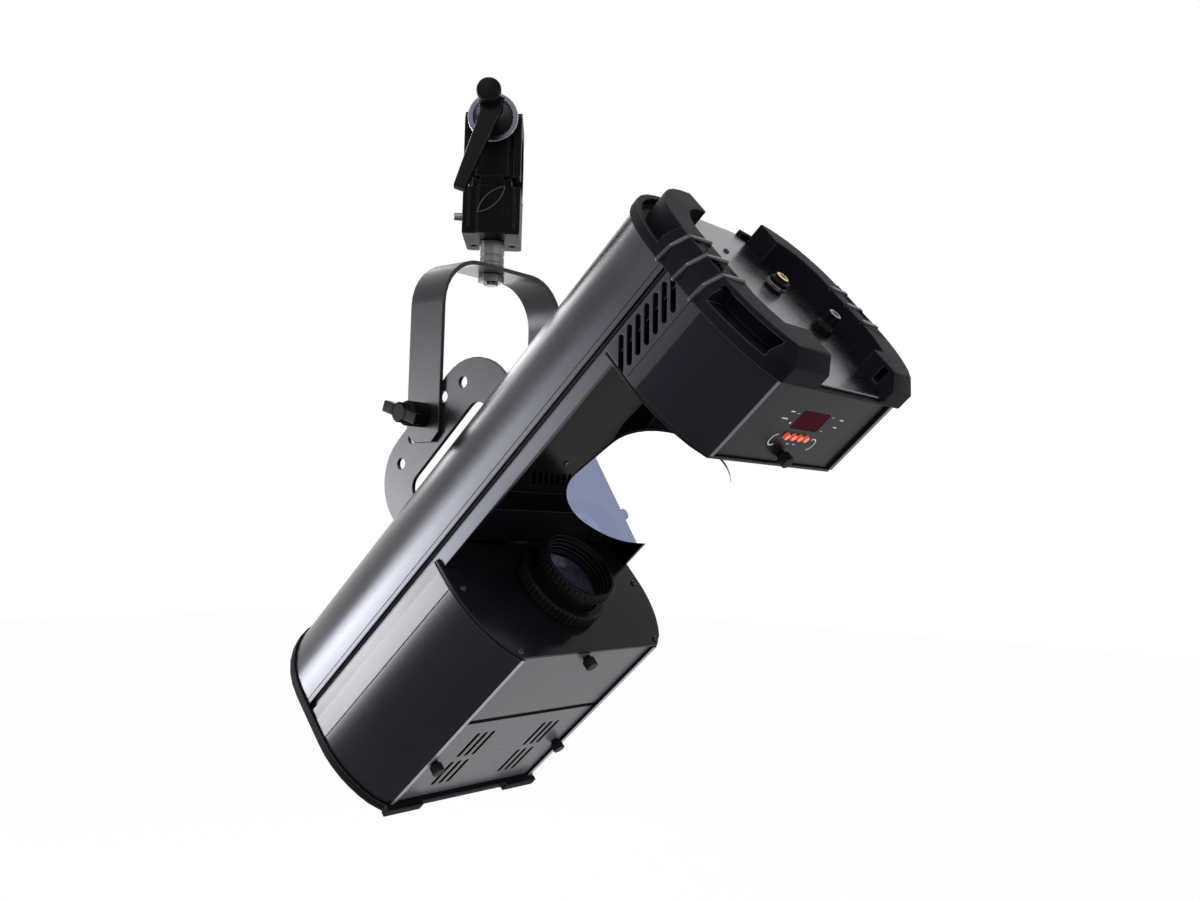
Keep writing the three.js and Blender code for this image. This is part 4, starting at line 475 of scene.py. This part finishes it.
ownFinish = {
    **{node: "lampSheet" for node in lampSides}, **{node: "satinSide" for node in headSides},
    "display_panel": "displayPaint", "vent_cover": "ventPaint", "lever_washer": "washerSteel",
}

# Where faces with another finish lie, in the lamp body's axes, and how squarely they face
accentPlaces = {
    "rimDepth": -141, "flatAcross": 109, "flatDepth": -41, "square": 0.9, "slotAcross": 68,
    "slotStart": -210, "slotEnd": -120, "slotLean": 0.5,
}


def onRim(place, way):
    return place.z < accentPlaces["rimDepth"] and way.z < -accentPlaces["square"]


def onFlat(place, way):
    outside = abs(place.x) > accentPlaces["flatAcross"] and place.z < accentPlaces["flatDepth"]
    return outside and abs(way.x) > accentPlaces["square"]


def inSlot(place, way):
    across = abs(place.x) < accentPlaces["slotAcross"]
    along = accentPlaces["slotStart"] < place.y < accentPlaces["slotEnd"]
    return across and along and abs(way.z) < accentPlaces["slotLean"]


accents = {
    **{node: (("lampRim", onRim),) for node in lampSides},
    **{node: (("rimEdge", onRim), ("headFlat", onFlat)) for node in headSides},
    # The vent cover's slot walls are painted dark: painted shade inside the slots
    "vent_cover": (("darkJointsAndShade", inSlot),),
}


def accentFaces(piece, finish, chosen):  # another finish on the faces that a test picks
    piece.data.materials.append(materials[finish])
    slot = len(piece.data.materials) - 1
    back = lampBody.inverted()
    turn = back.to_3x3()
    for polygon in piece.data.polygons:
        if chosen(back @ polygon.center, (turn @ polygon.normal).normalized()):
            polygon.material_index = slot


for node, size in edgeRounds.items():
    dressed = dress(node, size, ownFinish.get(node))
    for finish, chosen in accents.get(node, ()):
        accentFaces(dressed, finish, chosen)
print("stage: dressed parts,", len(edgeRounds))


def turned(profile, steps, weld=0.001):  # a form round z, from radius and height pairs in millimetres
    mesh = bmesh.new()
    points = [mesh.verts.new((radius, 0, height)) for radius, height in profile]
    chain = [mesh.edges.new(pair) for pair in zip(points, points[1:])]
    bmesh.ops.spin(
        mesh, geom=points + chain, cent=(0, 0, 0), axis=(0, 0, 1), angle=2 * pi, steps=steps, use_merge=True,
    )
    bmesh.ops.remove_doubles(mesh, verts=mesh.verts, dist=weld)
    bmesh.ops.recalc_face_normals(mesh, faces=mesh.faces)
    return mesh


def slab(across, along, up, soft=0.0):
    mesh = bmesh.new()
    bmesh.ops.create_cube(mesh, size=1)
    bmesh.ops.scale(mesh, vec=(across, along, up), verts=mesh.verts)
    if soft:
        softenEdges(mesh, soft)
    return mesh


def setOn(mesh, axes, spot, facing):  # stands a form that was made round z on a spot of the body
    upright = Vector(facing).to_track_quat("Z", "Y").to_matrix().to_4x4()
    bmesh.ops.transform(mesh, matrix=axes @ Matrix.Translation(spot) @ upright, verts=mesh.verts)
    return mesh


def gather(parts):
    whole = bmesh.new()
    for part in parts:
        data = bpy.data.meshes.new("part")
        part.to_mesh(data)
        part.free()
        whole.from_mesh(data)
        bpy.data.meshes.remove(data)
    return whole


def landing(node, axes, spot, facing, reach=60):  # the place where a part's surface lies under a spot
    shape = BVHTree.FromPolygons(
        [vertex.co for vertex in frame["nodes"][node].data.vertices],
        [polygon.vertices for polygon in frame["nodes"][node].data.polygons],
    )
    start = axes @ (Vector(spot) + Vector(facing) * reach)
    way = (axes.to_3x3() @ Vector(facing)).normalized()
    found = shape.ray_cast(start, -way, 2 * reach * mm)[0]
    if found is None:
        print("nothing under", node, spot)
        return Vector(spot)
    return axes.inverted() @ found


def raiseRibs(mesh, least, low, high, gap, rise, lean=0.2):  # every other face of the outer wall becomes a rib
    wall = []
    for face in mesh.faces:
        middle = face.calc_center_median()
        upright = abs(face.normal.z) < lean and face.normal.dot(middle) > 0
        if upright and middle.xy.length > least and low < middle.z < high:
            wall.append((atan2(middle.y, middle.x), face))
    wall.sort(key=lambda entry: entry[0])
    every = [face for angle, face in wall[::2]]
    bmesh.ops.inset_individual(mesh, faces=every, thickness=gap, depth=rise, use_even_offset=True)


# Profiles are pairs of radius and place along the lens axis, in millimetres, and ribbed gives the wall that the
# ribs stand on: its least radius, and from where to where
lensLook = {
    "axisDepth": 82, "ribGap": 0.35,
    "pieces": {
        "focus_grip": {
            "node": "focus_ring", "back": -31.2, "ribs": 54, "ribRise": 1.2, "ribbed": (36.6, 0.8, 9.6),
            "profile": (
                (29.5, 0), (36.2, 0), (36.8, 0.8), (36.8, 9.6), (36.2, 10.4), (30.7, 10.4), (29.5, 9.4), (29.5, 0),
            ),
        },
        "barrel_turned": {
            "node": "lens_barrel", "back": 0, "ribs": 44, "ribRise": 0.9, "ribbed": (31.9, -8.8, -3.2),
            "profile": (
                (26.6, -65.5), (29, -65.5), (29, -12.8), (30.6, -12.8), (30.6, -9.2), (32.2, -8.8), (32.2, -3.2),
                (33.1, -2.8), (33.1, -1.3), (32.6, -0.8), (30.2, -0.8), (29.6, -2), (28.9, -4.4), (28.6, -4.6),
                (28.4, -7.8), (27.9, -8), (27.7, -11.2), (27.3, -11.4), (27, -14.6), (25.2, -15), (25.2, -15.4),
                (26.6, -15.6), (26.6, -23), (24.8, -23.1), (24.8, -24.4), (26.6, -25.2), (26.6, -65.5),
            ),
        },
    },
}


def buildLensDress():
    look = lensLook
    for name, form in look["pieces"].items():
        mesh = turned(form["profile"], 2 * form["ribs"])
        raiseRibs(mesh, *form["ribbed"], look["ribGap"], form["ribRise"])
        setOn(mesh, lampBody, (0, form["back"], -look["axisDepth"]), (0, 1, 0))
        keepPiece(mesh, name, bodyOf[form["node"]], "black_plastic", None, (form["node"],))


buildLensDress()
print("stage: lens rings")

# A screw head with a socket, as shares of its radius and its rise, and how far it stands in its part
screwForm = {
    "profile": ((0, 0.4), (0.42, 0.4), (0.45, 0.98), (0.6, 1), (0.9, 0.7), (1, 0.3)), "sunk": 0.3, "steps": 20,
}


def screwHead(radius, rise):
    form = screwForm
    head = [(radius * across, rise * up) for across, up in form["profile"]]
    return turned(head + [(radius, -form["sunk"]), (0, -form["sunk"])], form["steps"])


# Small screws: the part that carries them, where, which way they face, and their size in millimetres
screwSets = {
    "lens_plate_screws": {
        "on": "lens_plate", "facing": (0, 1, 0), "radius": 2.6, "rise": 1.6, "slot": "black_steel",
        "spots": ((100, -31, -78), (-100, -31, -78), (80, -31, -136), (-80, -31, -136)),
    },
    "head_plate_screws": {
        "on": "head_front_plate", "facing": (0, -1, 0), "radius": 2.6, "rise": 1.6, "slot": "black_steel",
        "spots": ((100, 173, -78), (-100, 173, -78), (74, 173, -134), (-74, 173, -134)),
    },
    "tray_screws": {
        "on": "tray_floor", "facing": (0, 0, -1), "radius": 2.4, "rise": 1.4, "slot": "bright_steel",
        "spots": ((0, 39, -32), (0, 155, -32), (60, 39, -32), (-60, 39, -32)),
    },
    "connector_screws": {
        "on": "connector_plate", "facing": (0, 1, 0), "radius": 2.4, "rise": 1.5, "slot": "black_steel",
        "spots": ((0, 247, 0), (-64, 247, -20), (0, 247, -104), (64, 247, -95)),
    },
    "lamp_cap_screws": {
        "on": "lamp_end_cap", "facing": (0, -1, 0), "radius": 3, "rise": 1.4, "slot": "black_steel",
        "spots": ((96, -226, -20), (-96, -226, -20), (70, -226, 22), (-70, -226, 22)),
    },
    "socket_screws": {
        "on": "dmx_in_socket", "facing": (0, 1, 0), "radius": 1.1, "rise": 0.5, "slot": "bright_steel",
        "spots": ((32.4, 249, -2.4), (51.6, 249, -21.6)),
    },
    "out_socket_screws": {
        "on": "dmx_out_socket", "facing": (0, 1, 0), "radius": 1.1, "rise": 0.5, "slot": "bright_steel",
        "spots": ((32.4, 249, -50.4), (51.6, 249, -69.6)),
    },
}


def addScrews():
    for name, setup in screwSets.items():
        heads = []
        for spot in setup["spots"]:
            place = landing(setup["on"], lampBody, spot, setup["facing"])
            heads.append(setOn(screwHead(setup["radius"], setup["rise"]), lampBody, place, setup["facing"]))
        keepPiece(gather(heads), name, bodyOf[setup["on"]], setup["slot"])


addScrews()
print("stage: screws")

# Rings round the fuse and the gland, as radius and height pairs from the rear plate's face, and the sockets
rearLook = {
    "face": 247.6, "recess": 246.6, "ringSteps": 40,
    "places": {"fuse_holder": (-28, -33), "cable_gland": (-48, -74)},
    "rings": {
        "fuse_band": {
            "on": "fuse_holder", "finish": None,
            "profile": ((7.2, 2.2), (7.9, 2.2), (7.9, 4.8), (7.2, 4.8), (7.2, 2.2)),
        },
        "fuse_rim": {
            # The fuse's rim is gold-coloured as a painted orange glint
            "on": "fuse_holder", "finish": "goldPinAndGlint",
            "profile": ((3.2, 10.9), (3.2, 11.6), (4.4, 11.6), (5.2, 11.1), (5.2, 10.9), (3.2, 10.9)),
        },
        "gland_rim": {
            "on": "cable_gland", "finish": None,
            "profile": ((3, 15.9), (3, 16.7), (4.6, 16.7), (5.1, 16.2), (5.1, 15.9), (3, 15.9)),
        },
    },
    "socketAcross": 42, "pinAngles": (90, 210, 330), "pinCircle": 4.6, "pinRadius": 1.2, "pinTip": 0.6,
    "pinSunk": 0.3, "pinSteps": 16, "latch": (5, 3, 2, 0.4), "latchRise": 1, "latchDrop": 9.2,
    "sockets": {
        "in": {"node": "dmx_in_socket", "depth": -12, "pinLength": 2.6},
        "out": {"node": "dmx_out_socket", "depth": -60, "pinLength": 0.3},
    },
}


def buildRearDetails():
    look = rearLook
    for name, form in look["rings"].items():
        across, depth = look["places"][form["on"]]
        ring = turned(form["profile"], look["ringSteps"])
        setOn(ring, lampBody, (across, look["face"], depth), (0, 1, 0))
        keepPiece(ring, name, bodyOf[form["on"]], "bright_steel", form["finish"])
    radius, sunk = look["pinRadius"], look["pinSunk"]
    for name, socket in look["sockets"].items():
        length, body = socket["pinLength"], bodyOf[socket["node"]]
        pins = []
        for angle in look["pinAngles"]:
            across = look["socketAcross"] + look["pinCircle"] * cos(radians(angle))
            along = socket["depth"] + look["pinCircle"] * sin(radians(angle))
            pin = turned([
                (0, -sunk), (radius, -sunk), (radius, length - sunk), (radius * look["pinTip"], length), (0, length),
            ], look["pinSteps"])
            pins.append(setOn(pin, lampBody, (across, look["recess"], along), (0, 1, 0)))
        keepPiece(gather(pins), name + "_pins", body, "bright_steel", "goldPinAndGlint")
        latch = slab(*look["latch"])
        spot = (look["socketAcross"], look["recess"] + look["latchRise"], socket["depth"] + look["latchDrop"])
        keepPiece(setOn(latch, lampBody, spot, (0, 1, 0)), name + "_latch", body, "bright_steel")


buildRearDetails()
print("stage: rear sockets")

# Printed marks on the display panel: plain dashes and brackets, no words
panelPrint = {
    "face": -139.5, "proud": 0.12,
    "dashes": (
        (30, 220.6, 5, 1.1), (32.5, 214, 7, 1.1), (22, 211, 2.4, 1.4), (-36, 220.5, 5, 1.1),
        (-35.5, 213.6, 5, 1.1), (-22.8, 221.4, 2.6, 0.5), (-23.4, 208.4, 2.6, 0.5), (22.6, 219.8, 2.6, 0.5),
        (3, 193.4, 4, 0.9), (-5, 193.4, 3, 0.9),
    ),
    "brackets": ((22.5, 195.5, 50), (-24.5, 195.5, 230)), "bracketRadius": 4.6, "bracketWidth": 1.0,
    "bracketSweep": 210, "bracketSteps": 20,
}


def buildPanelPrint():
    look = panelPrint
    marks = []
    for across, along, length, width in look["dashes"]:
        mark = slab(length, width, look["proud"])
        marks.append(setOn(mark, lampBody, (across, along, look["face"]), (0, 0, 1)))
    for across, along, start in look["brackets"]:
        mesh = bmesh.new()
        near, far = look["bracketRadius"], look["bracketRadius"] + look["bracketWidth"]
        ends = [mesh.verts.new((near, 0, 0)), mesh.verts.new((far, 0, 0))]
        edge = mesh.edges.new(ends)
        bmesh.ops.spin(
            mesh, geom=ends + [edge], cent=(0, 0, 0), axis=(0, 0, 1), angle=radians(look["bracketSweep"]),
            steps=look["bracketSteps"],
        )
        bmesh.ops.solidify(mesh, geom=mesh.faces[:], thickness=look["proud"])
        bmesh.ops.recalc_face_normals(mesh, faces=mesh.faces)
        bmesh.ops.rotate(mesh, cent=(0, 0, 0), matrix=Matrix.Rotation(radians(start), 3, "Z"), verts=mesh.verts)
        bmesh.ops.translate(mesh, vec=(0, 0, -look["proud"] / 2), verts=mesh.verts)
        marks.append(setOn(mesh, lampBody, (across, along, look["face"]), (0, 0, 1)))
    keepPiece(gather(marks), "panel_marks", bodyOf["display_panel"], "ceramic", "printedWhite")


buildPanelPrint()

# The strips on the body's flats, the dark joint lines beside them and a dark strip of painted shade over the gap
# between the lamp covers
trimLook = {
    "side": 110, "proud": 0.25, "lineProud": 0.5 / 3, "soft": 0.1, "top": -58.6, "bottom": -75.4, "start": -215.6,
    "end": -35, "seamDepth": -40, "seamWidth": 0.5, "seamStart": -215.9, "seamEnd": 242.8,
    "flatLines": ((-215.6, -35), (177.5, 242.8)), "flatLineDepth": -75.9, "gapShadeAlong": -113.5,
    "gapShadeWidth": 4.4, "gapShadeHalf": 74.6, "coverFace": -139.5, "gapShadeRise": 0.25,
}


def sideStrip(side, start, end, depth, width, proud, soft=0.0):
    strip = slab(proud, end - start, width, soft)
    return setOn(strip, lampBody, (side * trimLook["side"], (end + start) / 2, depth), (0, 0, 1))


def buildSideTrim():
    look = trimLook
    middle, width = (look["top"] + look["bottom"]) / 2, look["top"] - look["bottom"]
    for name, side in (("right", 1), ("left", -1)):
        strip = sideStrip(side, look["start"], look["end"], middle, width, 2 * look["proud"], look["soft"])
        keepPiece(strip, name + "_flat_trim", bodyOf["spine"], "anodised", "brightFlat")
        lines = [(look["seamStart"], look["seamEnd"], look["seamDepth"])]
        lines += [(start, end, look["flatLineDepth"]) for start, end in look["flatLines"]]
        seams = [
            sideStrip(side, start, end, depth, look["seamWidth"], look["lineProud"]) for start, end, depth in lines
        ]
        keepPiece(gather(seams), name + "_seam_line", bodyOf["spine"], "black_plastic", "darkJointsAndShade")


# A dark strip over the gap between the lamp covers: painted shade in the gap
def buildCoverGapShade():
    look = trimLook
    strip = slab(2 * look["gapShadeHalf"], look["gapShadeWidth"], 2 * look["gapShadeRise"], look["soft"])
    setOn(strip, lampBody, (0, look["gapShadeAlong"], look["coverFace"]), (0, 0, 1))
    keepPiece(strip, "cover_gap_shade", bodyOf["vent_cover"], "black_plastic", "darkJointsAndShade")


buildSideTrim()
buildCoverGapShade()
print("stage: marks and trim")

clampLook = {
    "leafLow": (-11, -47), "leafHigh": (11, -25), "leafBow": 5, "leafWire": 0.5, "wireSides": 10, "leafSteps": 24,
}


def buildClampLeaf():  # two thin bows, the raised rim of the pointed oval in the clamp's front
    look = clampLook
    low, high = Vector(look["leafLow"]), Vector(look["leafHigh"])
    chord = (high - low).length
    bow = look["leafBow"]
    radius = (chord * chord / 4 + bow * bow) / (2 * bow)
    sweep = 2 * asin(chord / 2 / radius)
    middle = (low + high) / 2
    lean = atan2(high.y - low.y, high.x - low.x)
    front = landing("clamp_body", clampAxes, (middle.x, 0, middle.y), (0, -1, 0)).y
    bows = []
    for side in (1, -1):
        mesh = bmesh.new()
        ring = bmesh.ops.create_circle(
            mesh, segments=look["wireSides"], radius=look["leafWire"], cap_ends=False,
        )["verts"]
        bmesh.ops.rotate(mesh, cent=(0, 0, 0), matrix=Matrix.Rotation(pi / 2, 3, "X"), verts=ring)
        bmesh.ops.translate(mesh, vec=(radius, 0, 0), verts=ring)
        bmesh.ops.spin(
            mesh, geom=mesh.verts[:] + mesh.edges[:], cent=(0, 0, 0), axis=(0, 0, 1), angle=sweep,
            steps=look["leafSteps"],
        )
        bmesh.ops.holes_fill(mesh, edges=[edge for edge in mesh.edges if edge.is_boundary])
        bmesh.ops.recalc_face_normals(mesh, faces=mesh.faces)
        bmesh.ops.rotate(mesh, cent=(0, 0, 0), matrix=Matrix.Rotation(pi / 2 - sweep / 2, 3, "Z"), verts=mesh.verts)
        bmesh.ops.translate(mesh, vec=(0, bow - radius, 0), verts=mesh.verts)
        if side < 0:
            bmesh.ops.rotate(mesh, cent=(0, 0, 0), matrix=Matrix.Rotation(pi, 3, "Z"), verts=mesh.verts)
        bmesh.ops.rotate(mesh, cent=(0, 0, 0), matrix=Matrix.Rotation(lean, 3, "Z"), verts=mesh.verts)
        turn = Matrix.Translation((middle.x, front, middle.y)) @ Matrix.Rotation(pi / 2, 4, "X")
        bmesh.ops.transform(mesh, matrix=clampAxes @ turn, verts=mesh.verts)
        bows.append(mesh)
    # The bows are lighter than the black casting: a painted highlight along the raised rim
    keepPiece(gather(bows), "clamp_leaf", bodyOf["clamp_body"], "black_casting", "leafHighlight")


buildClampLeaf()

# Radius and height pairs in the clamp's axes: the shank, the grooved collar and the threaded end
boltLook = {
    "steps": 72,
    "profile": (
        (0, -38.6), (7.5, -38.6), (8, -39.1), (8, -64.3), (10.1, -64.3), (10.5, -64.7), (10.5, -76.4),
        (9.8, -76.6), (9.8, -78), (10.5, -78.2), (10.5, -82.6), (10, -82.8), (10, -83.4), (10.5, -83.6),
        (10.5, -85.4), (10, -85.6), (10, -86.2), (10.5, -86.4), (10.5, -88.4), (10.2, -88.7), (6, -88.7), (6, -93),
        (6, -99.6), (6, -100.1), (5.6, -100.4), (6, -100.7), (6, -101.2), (5.4, -101.8), (0, -101.8),
    ),
}


def buildHangingBolt():
    bolt = turned(boltLook["profile"], boltLook["steps"])
    bmesh.ops.transform(bolt, matrix=clampAxes, verts=bolt.verts)
    keepPiece(bolt, "bolt_turned", bodyOf["hanging_bolt"], "bright_steel", None, ("hanging_bolt",))


buildHangingBolt()

# The round hub of the clamp's grip
leverBoss = {
    "spot": (-2, -58, 40), "steps": 40,
    "profile": ((0, 17), (7.6, 17), (9.2, 16.4), (10, 15), (9.5, 1), (8.5, 0), (0, 0)),
}


def buildLeverBoss():
    boss = turned(leverBoss["profile"], leverBoss["steps"])
    setOn(boss, clampAxes, leverBoss["spot"], (0, -1, 0))
    keepPiece(boss, "lever_boss", bodyOf["clamp_lever"], "black_plastic")


buildLeverBoss()
print("stage: clamp details")

ribLook = {
    "depths": (-40, -58.8, -77.6), "width": 2.9, "soft": 1.0, "softTurn": 20, "softSegments": 3,
    "profile": (
        (79.6, 264.5), (79.6, 268.2), (104.4, 267.1), (113.7, 256.8), (115.9, 245.6), (115.9, 243), (101, 243),
    ),
}


def buildCapRibs():  # rounded bars over both walls of the head cap
    look = ribLook
    bars = []
    for side in (1, -1):
        for depth in look["depths"]:
            mesh = bmesh.new()
            corners = [mesh.verts.new((side * across, along, 0)) for across, along in look["profile"]]
            face = mesh.faces.new(corners)
            grown = bmesh.ops.extrude_face_region(mesh, geom=[face])["geom"]
            lifted = [item for item in grown if isinstance(item, bmesh.types.BMVert)]
            bmesh.ops.translate(mesh, vec=(0, 0, look["width"]), verts=lifted)
            bmesh.ops.recalc_face_normals(mesh, faces=mesh.faces)
            softenEdges(mesh, look["soft"], look["softTurn"], look["softSegments"])
            move = Matrix.Translation((0, 0, depth - look["width"] / 2))
            bmesh.ops.transform(mesh, matrix=lampBody @ move, verts=mesh.verts)
            bars.append(mesh)
    keepPiece(gather(bars), "cap_rib_bars", bodyOf["head_end_cap"], "cap_plastic", "ribGloss")


buildCapRibs()
print("stage: cap ribs")

mirrorLook = {"soft": 0.3, "facing": 0.6}


def buildMirrorPlate():  # silvered on the face away from its mount, painted behind
    mesh = mergedCopy("mirror")
    softenEdges(mesh, mirrorLook["soft"] * mm)
    piece = keepPiece(mesh, "mirror_plate", bodyOf["mirror"], "mirror_coat", None, ("mirror",))
    piece.data.materials.append(materials["mirrorBack"])
    largest = max(piece.data.polygons, key=lambda polygon: polygon.area)
    way = largest.normal.copy()
    mount = sum((Vector(corner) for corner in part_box("mirror_mount")), Vector()) / 2
    if way.dot(mount - largest.center) > 0:
        way = -way
    for polygon in piece.data.polygons:
        polygon.material_index = 0 if polygon.normal.dot(way) > mirrorLook["facing"] else 1


buildMirrorPlate()
print("stage: mirror")

smoothNodes = ("front_lens", "lamp_reflector", "lamp")
for node, part in frame["nodes"].items():  # the parts that nothing stands in for
    if not part.hide_render:
        part.data.materials.clear()
        part.data.materials.append(materials[slotOf[node]])
        for polygon in part.data.polygons:
            polygon.material_index = 0
            polygon.use_smooth = node in smoothNodes

lightSetup = {
    "key": {"place": (-1.6, -0.6, 1.5), "size": 1.6, "power": 22},
    "fill": {"place": (-0.2, -2.2, 0.2), "size": 1.8, "power": 8},
    "side_1": {"place": (-1.36, 2.08, -0.62), "size": 0.7, "power": 21},
    "side_2": {"place": (-1.45, 1.93, -0.38), "size": 0.6, "power": 10},
    "side_3": {"place": (-1.54, 1.66, -0.14), "size": 0.6, "power": 6},
    "side_4": {"place": (-1.62, 1.40, 0.10), "size": 0.5, "power": 1.6},
    "back": {"place": (1.6, 1.3, -0.1), "size": 0.9, "power": 5},
    "rim": {"place": (0.45, 1.75, 0.7), "size": 0.9, "power": 10},
}
lightAim = (0, -0.05, -0.3)
surroundings = {"white": tone(1, 1, 1), "brightness": 1.0, "air": tone(0.86, 0.88, 0.92), "ambient": 0.55}
floorSetup = {
    "drop": 0.45, "size": 14, "dark": tone(0.86, 0.86, 0.86), "light": tone(0.9, 0.9, 0.9), "speck": 40,
    "rough": (0.75, 0.85), "glow": 0.97,
}


def addLights():
    target = Vector(lightAim)
    for name, setup in lightSetup.items():
        data = bpy.data.lights.new(name, "AREA")
        data.size = setup["size"]
        data.energy = setup["power"]
        lamp = bpy.data.objects.new(name, data)
        lamp.location = setup["place"]
        lamp.rotation_euler = (target - lamp.location).to_track_quat("-Z", "Y").to_euler()
        bpy.context.collection.objects.link(lamp)


def seenPlain(tree):  # 1 where the background itself is seen, directly or in metal and glass
    rays = tree.nodes.new("ShaderNodeLightPath")
    seen = Wire(tree, rays.outputs["Is Camera Ray"])
    glossy = Wire(tree, rays.outputs["Is Glossy Ray"])
    through = Wire(tree, rays.outputs["Is Transmission Ray"])
    return (seen + glossy + through).clamp()


def addSurroundings():
    world = bpy.data.worlds.new("studioAir")
    world.use_nodes = True
    tree = world.node_tree
    tree.nodes.clear()
    seen = seenPlain(tree)
    look = surroundings
    air = Wire(tree).add("ShaderNodeBackground", {}, {"Color": look["air"], "Strength": look["ambient"]})
    white = Wire(tree).add("ShaderNodeBackground", {}, {"Color": look["white"], "Strength": look["brightness"]})
    mixed = Wire(tree).add("ShaderNodeMixShader", {}, {0: seen, 1: air, 2: white})
    outlet = tree.nodes.new("ShaderNodeOutputWorld")
    tree.links.new(mixed.socket, outlet.inputs["Surface"])
    bpy.context.scene.world = world


def addFloor():
    look = floorSetup
    mesh = bmesh.new()
    bmesh.ops.create_grid(mesh, x_segments=1, y_segments=1, size=look["size"] / 2)
    bmesh.ops.translate(mesh, verts=mesh.verts, vec=(0, 0, cadBox[0][2] - look["drop"]))
    data = bpy.data.meshes.new("floor")
    mesh.to_mesh(data)
    mesh.free()
    floor = bpy.data.objects.new("floor", data)
    bpy.context.collection.objects.link(floor)
    material, shader, place = startMaterial("paleFloor")
    speck = place.noise(look["speck"])
    low, high = look["rough"]
    feed(shader, "Base Color", speck.blend(look["dark"], look["light"]))
    feed(shader, "Roughness", speck * (high - low) + low)
    tree = material.node_tree
    white = {"Color": surroundings["white"], "Strength": surroundings["brightness"]}
    glow = place.add("ShaderNodeEmission", {}, white)
    factor = seenPlain(tree) * look["glow"]
    mixed = place.add("ShaderNodeMixShader", {}, {0: factor, 1: Wire(tree, shader.outputs[0]), 2: glow})
    outlet = next(node for node in tree.nodes if node.type == "OUTPUT_MATERIAL")
    tree.links.new(mixed.socket, outlet.inputs["Surface"])
    data.materials.append(material)


addLights()
addSurroundings()
addFloor()
bpy.context.scene.view_settings.view_transform = "Standard"
print("stage: floor and light")
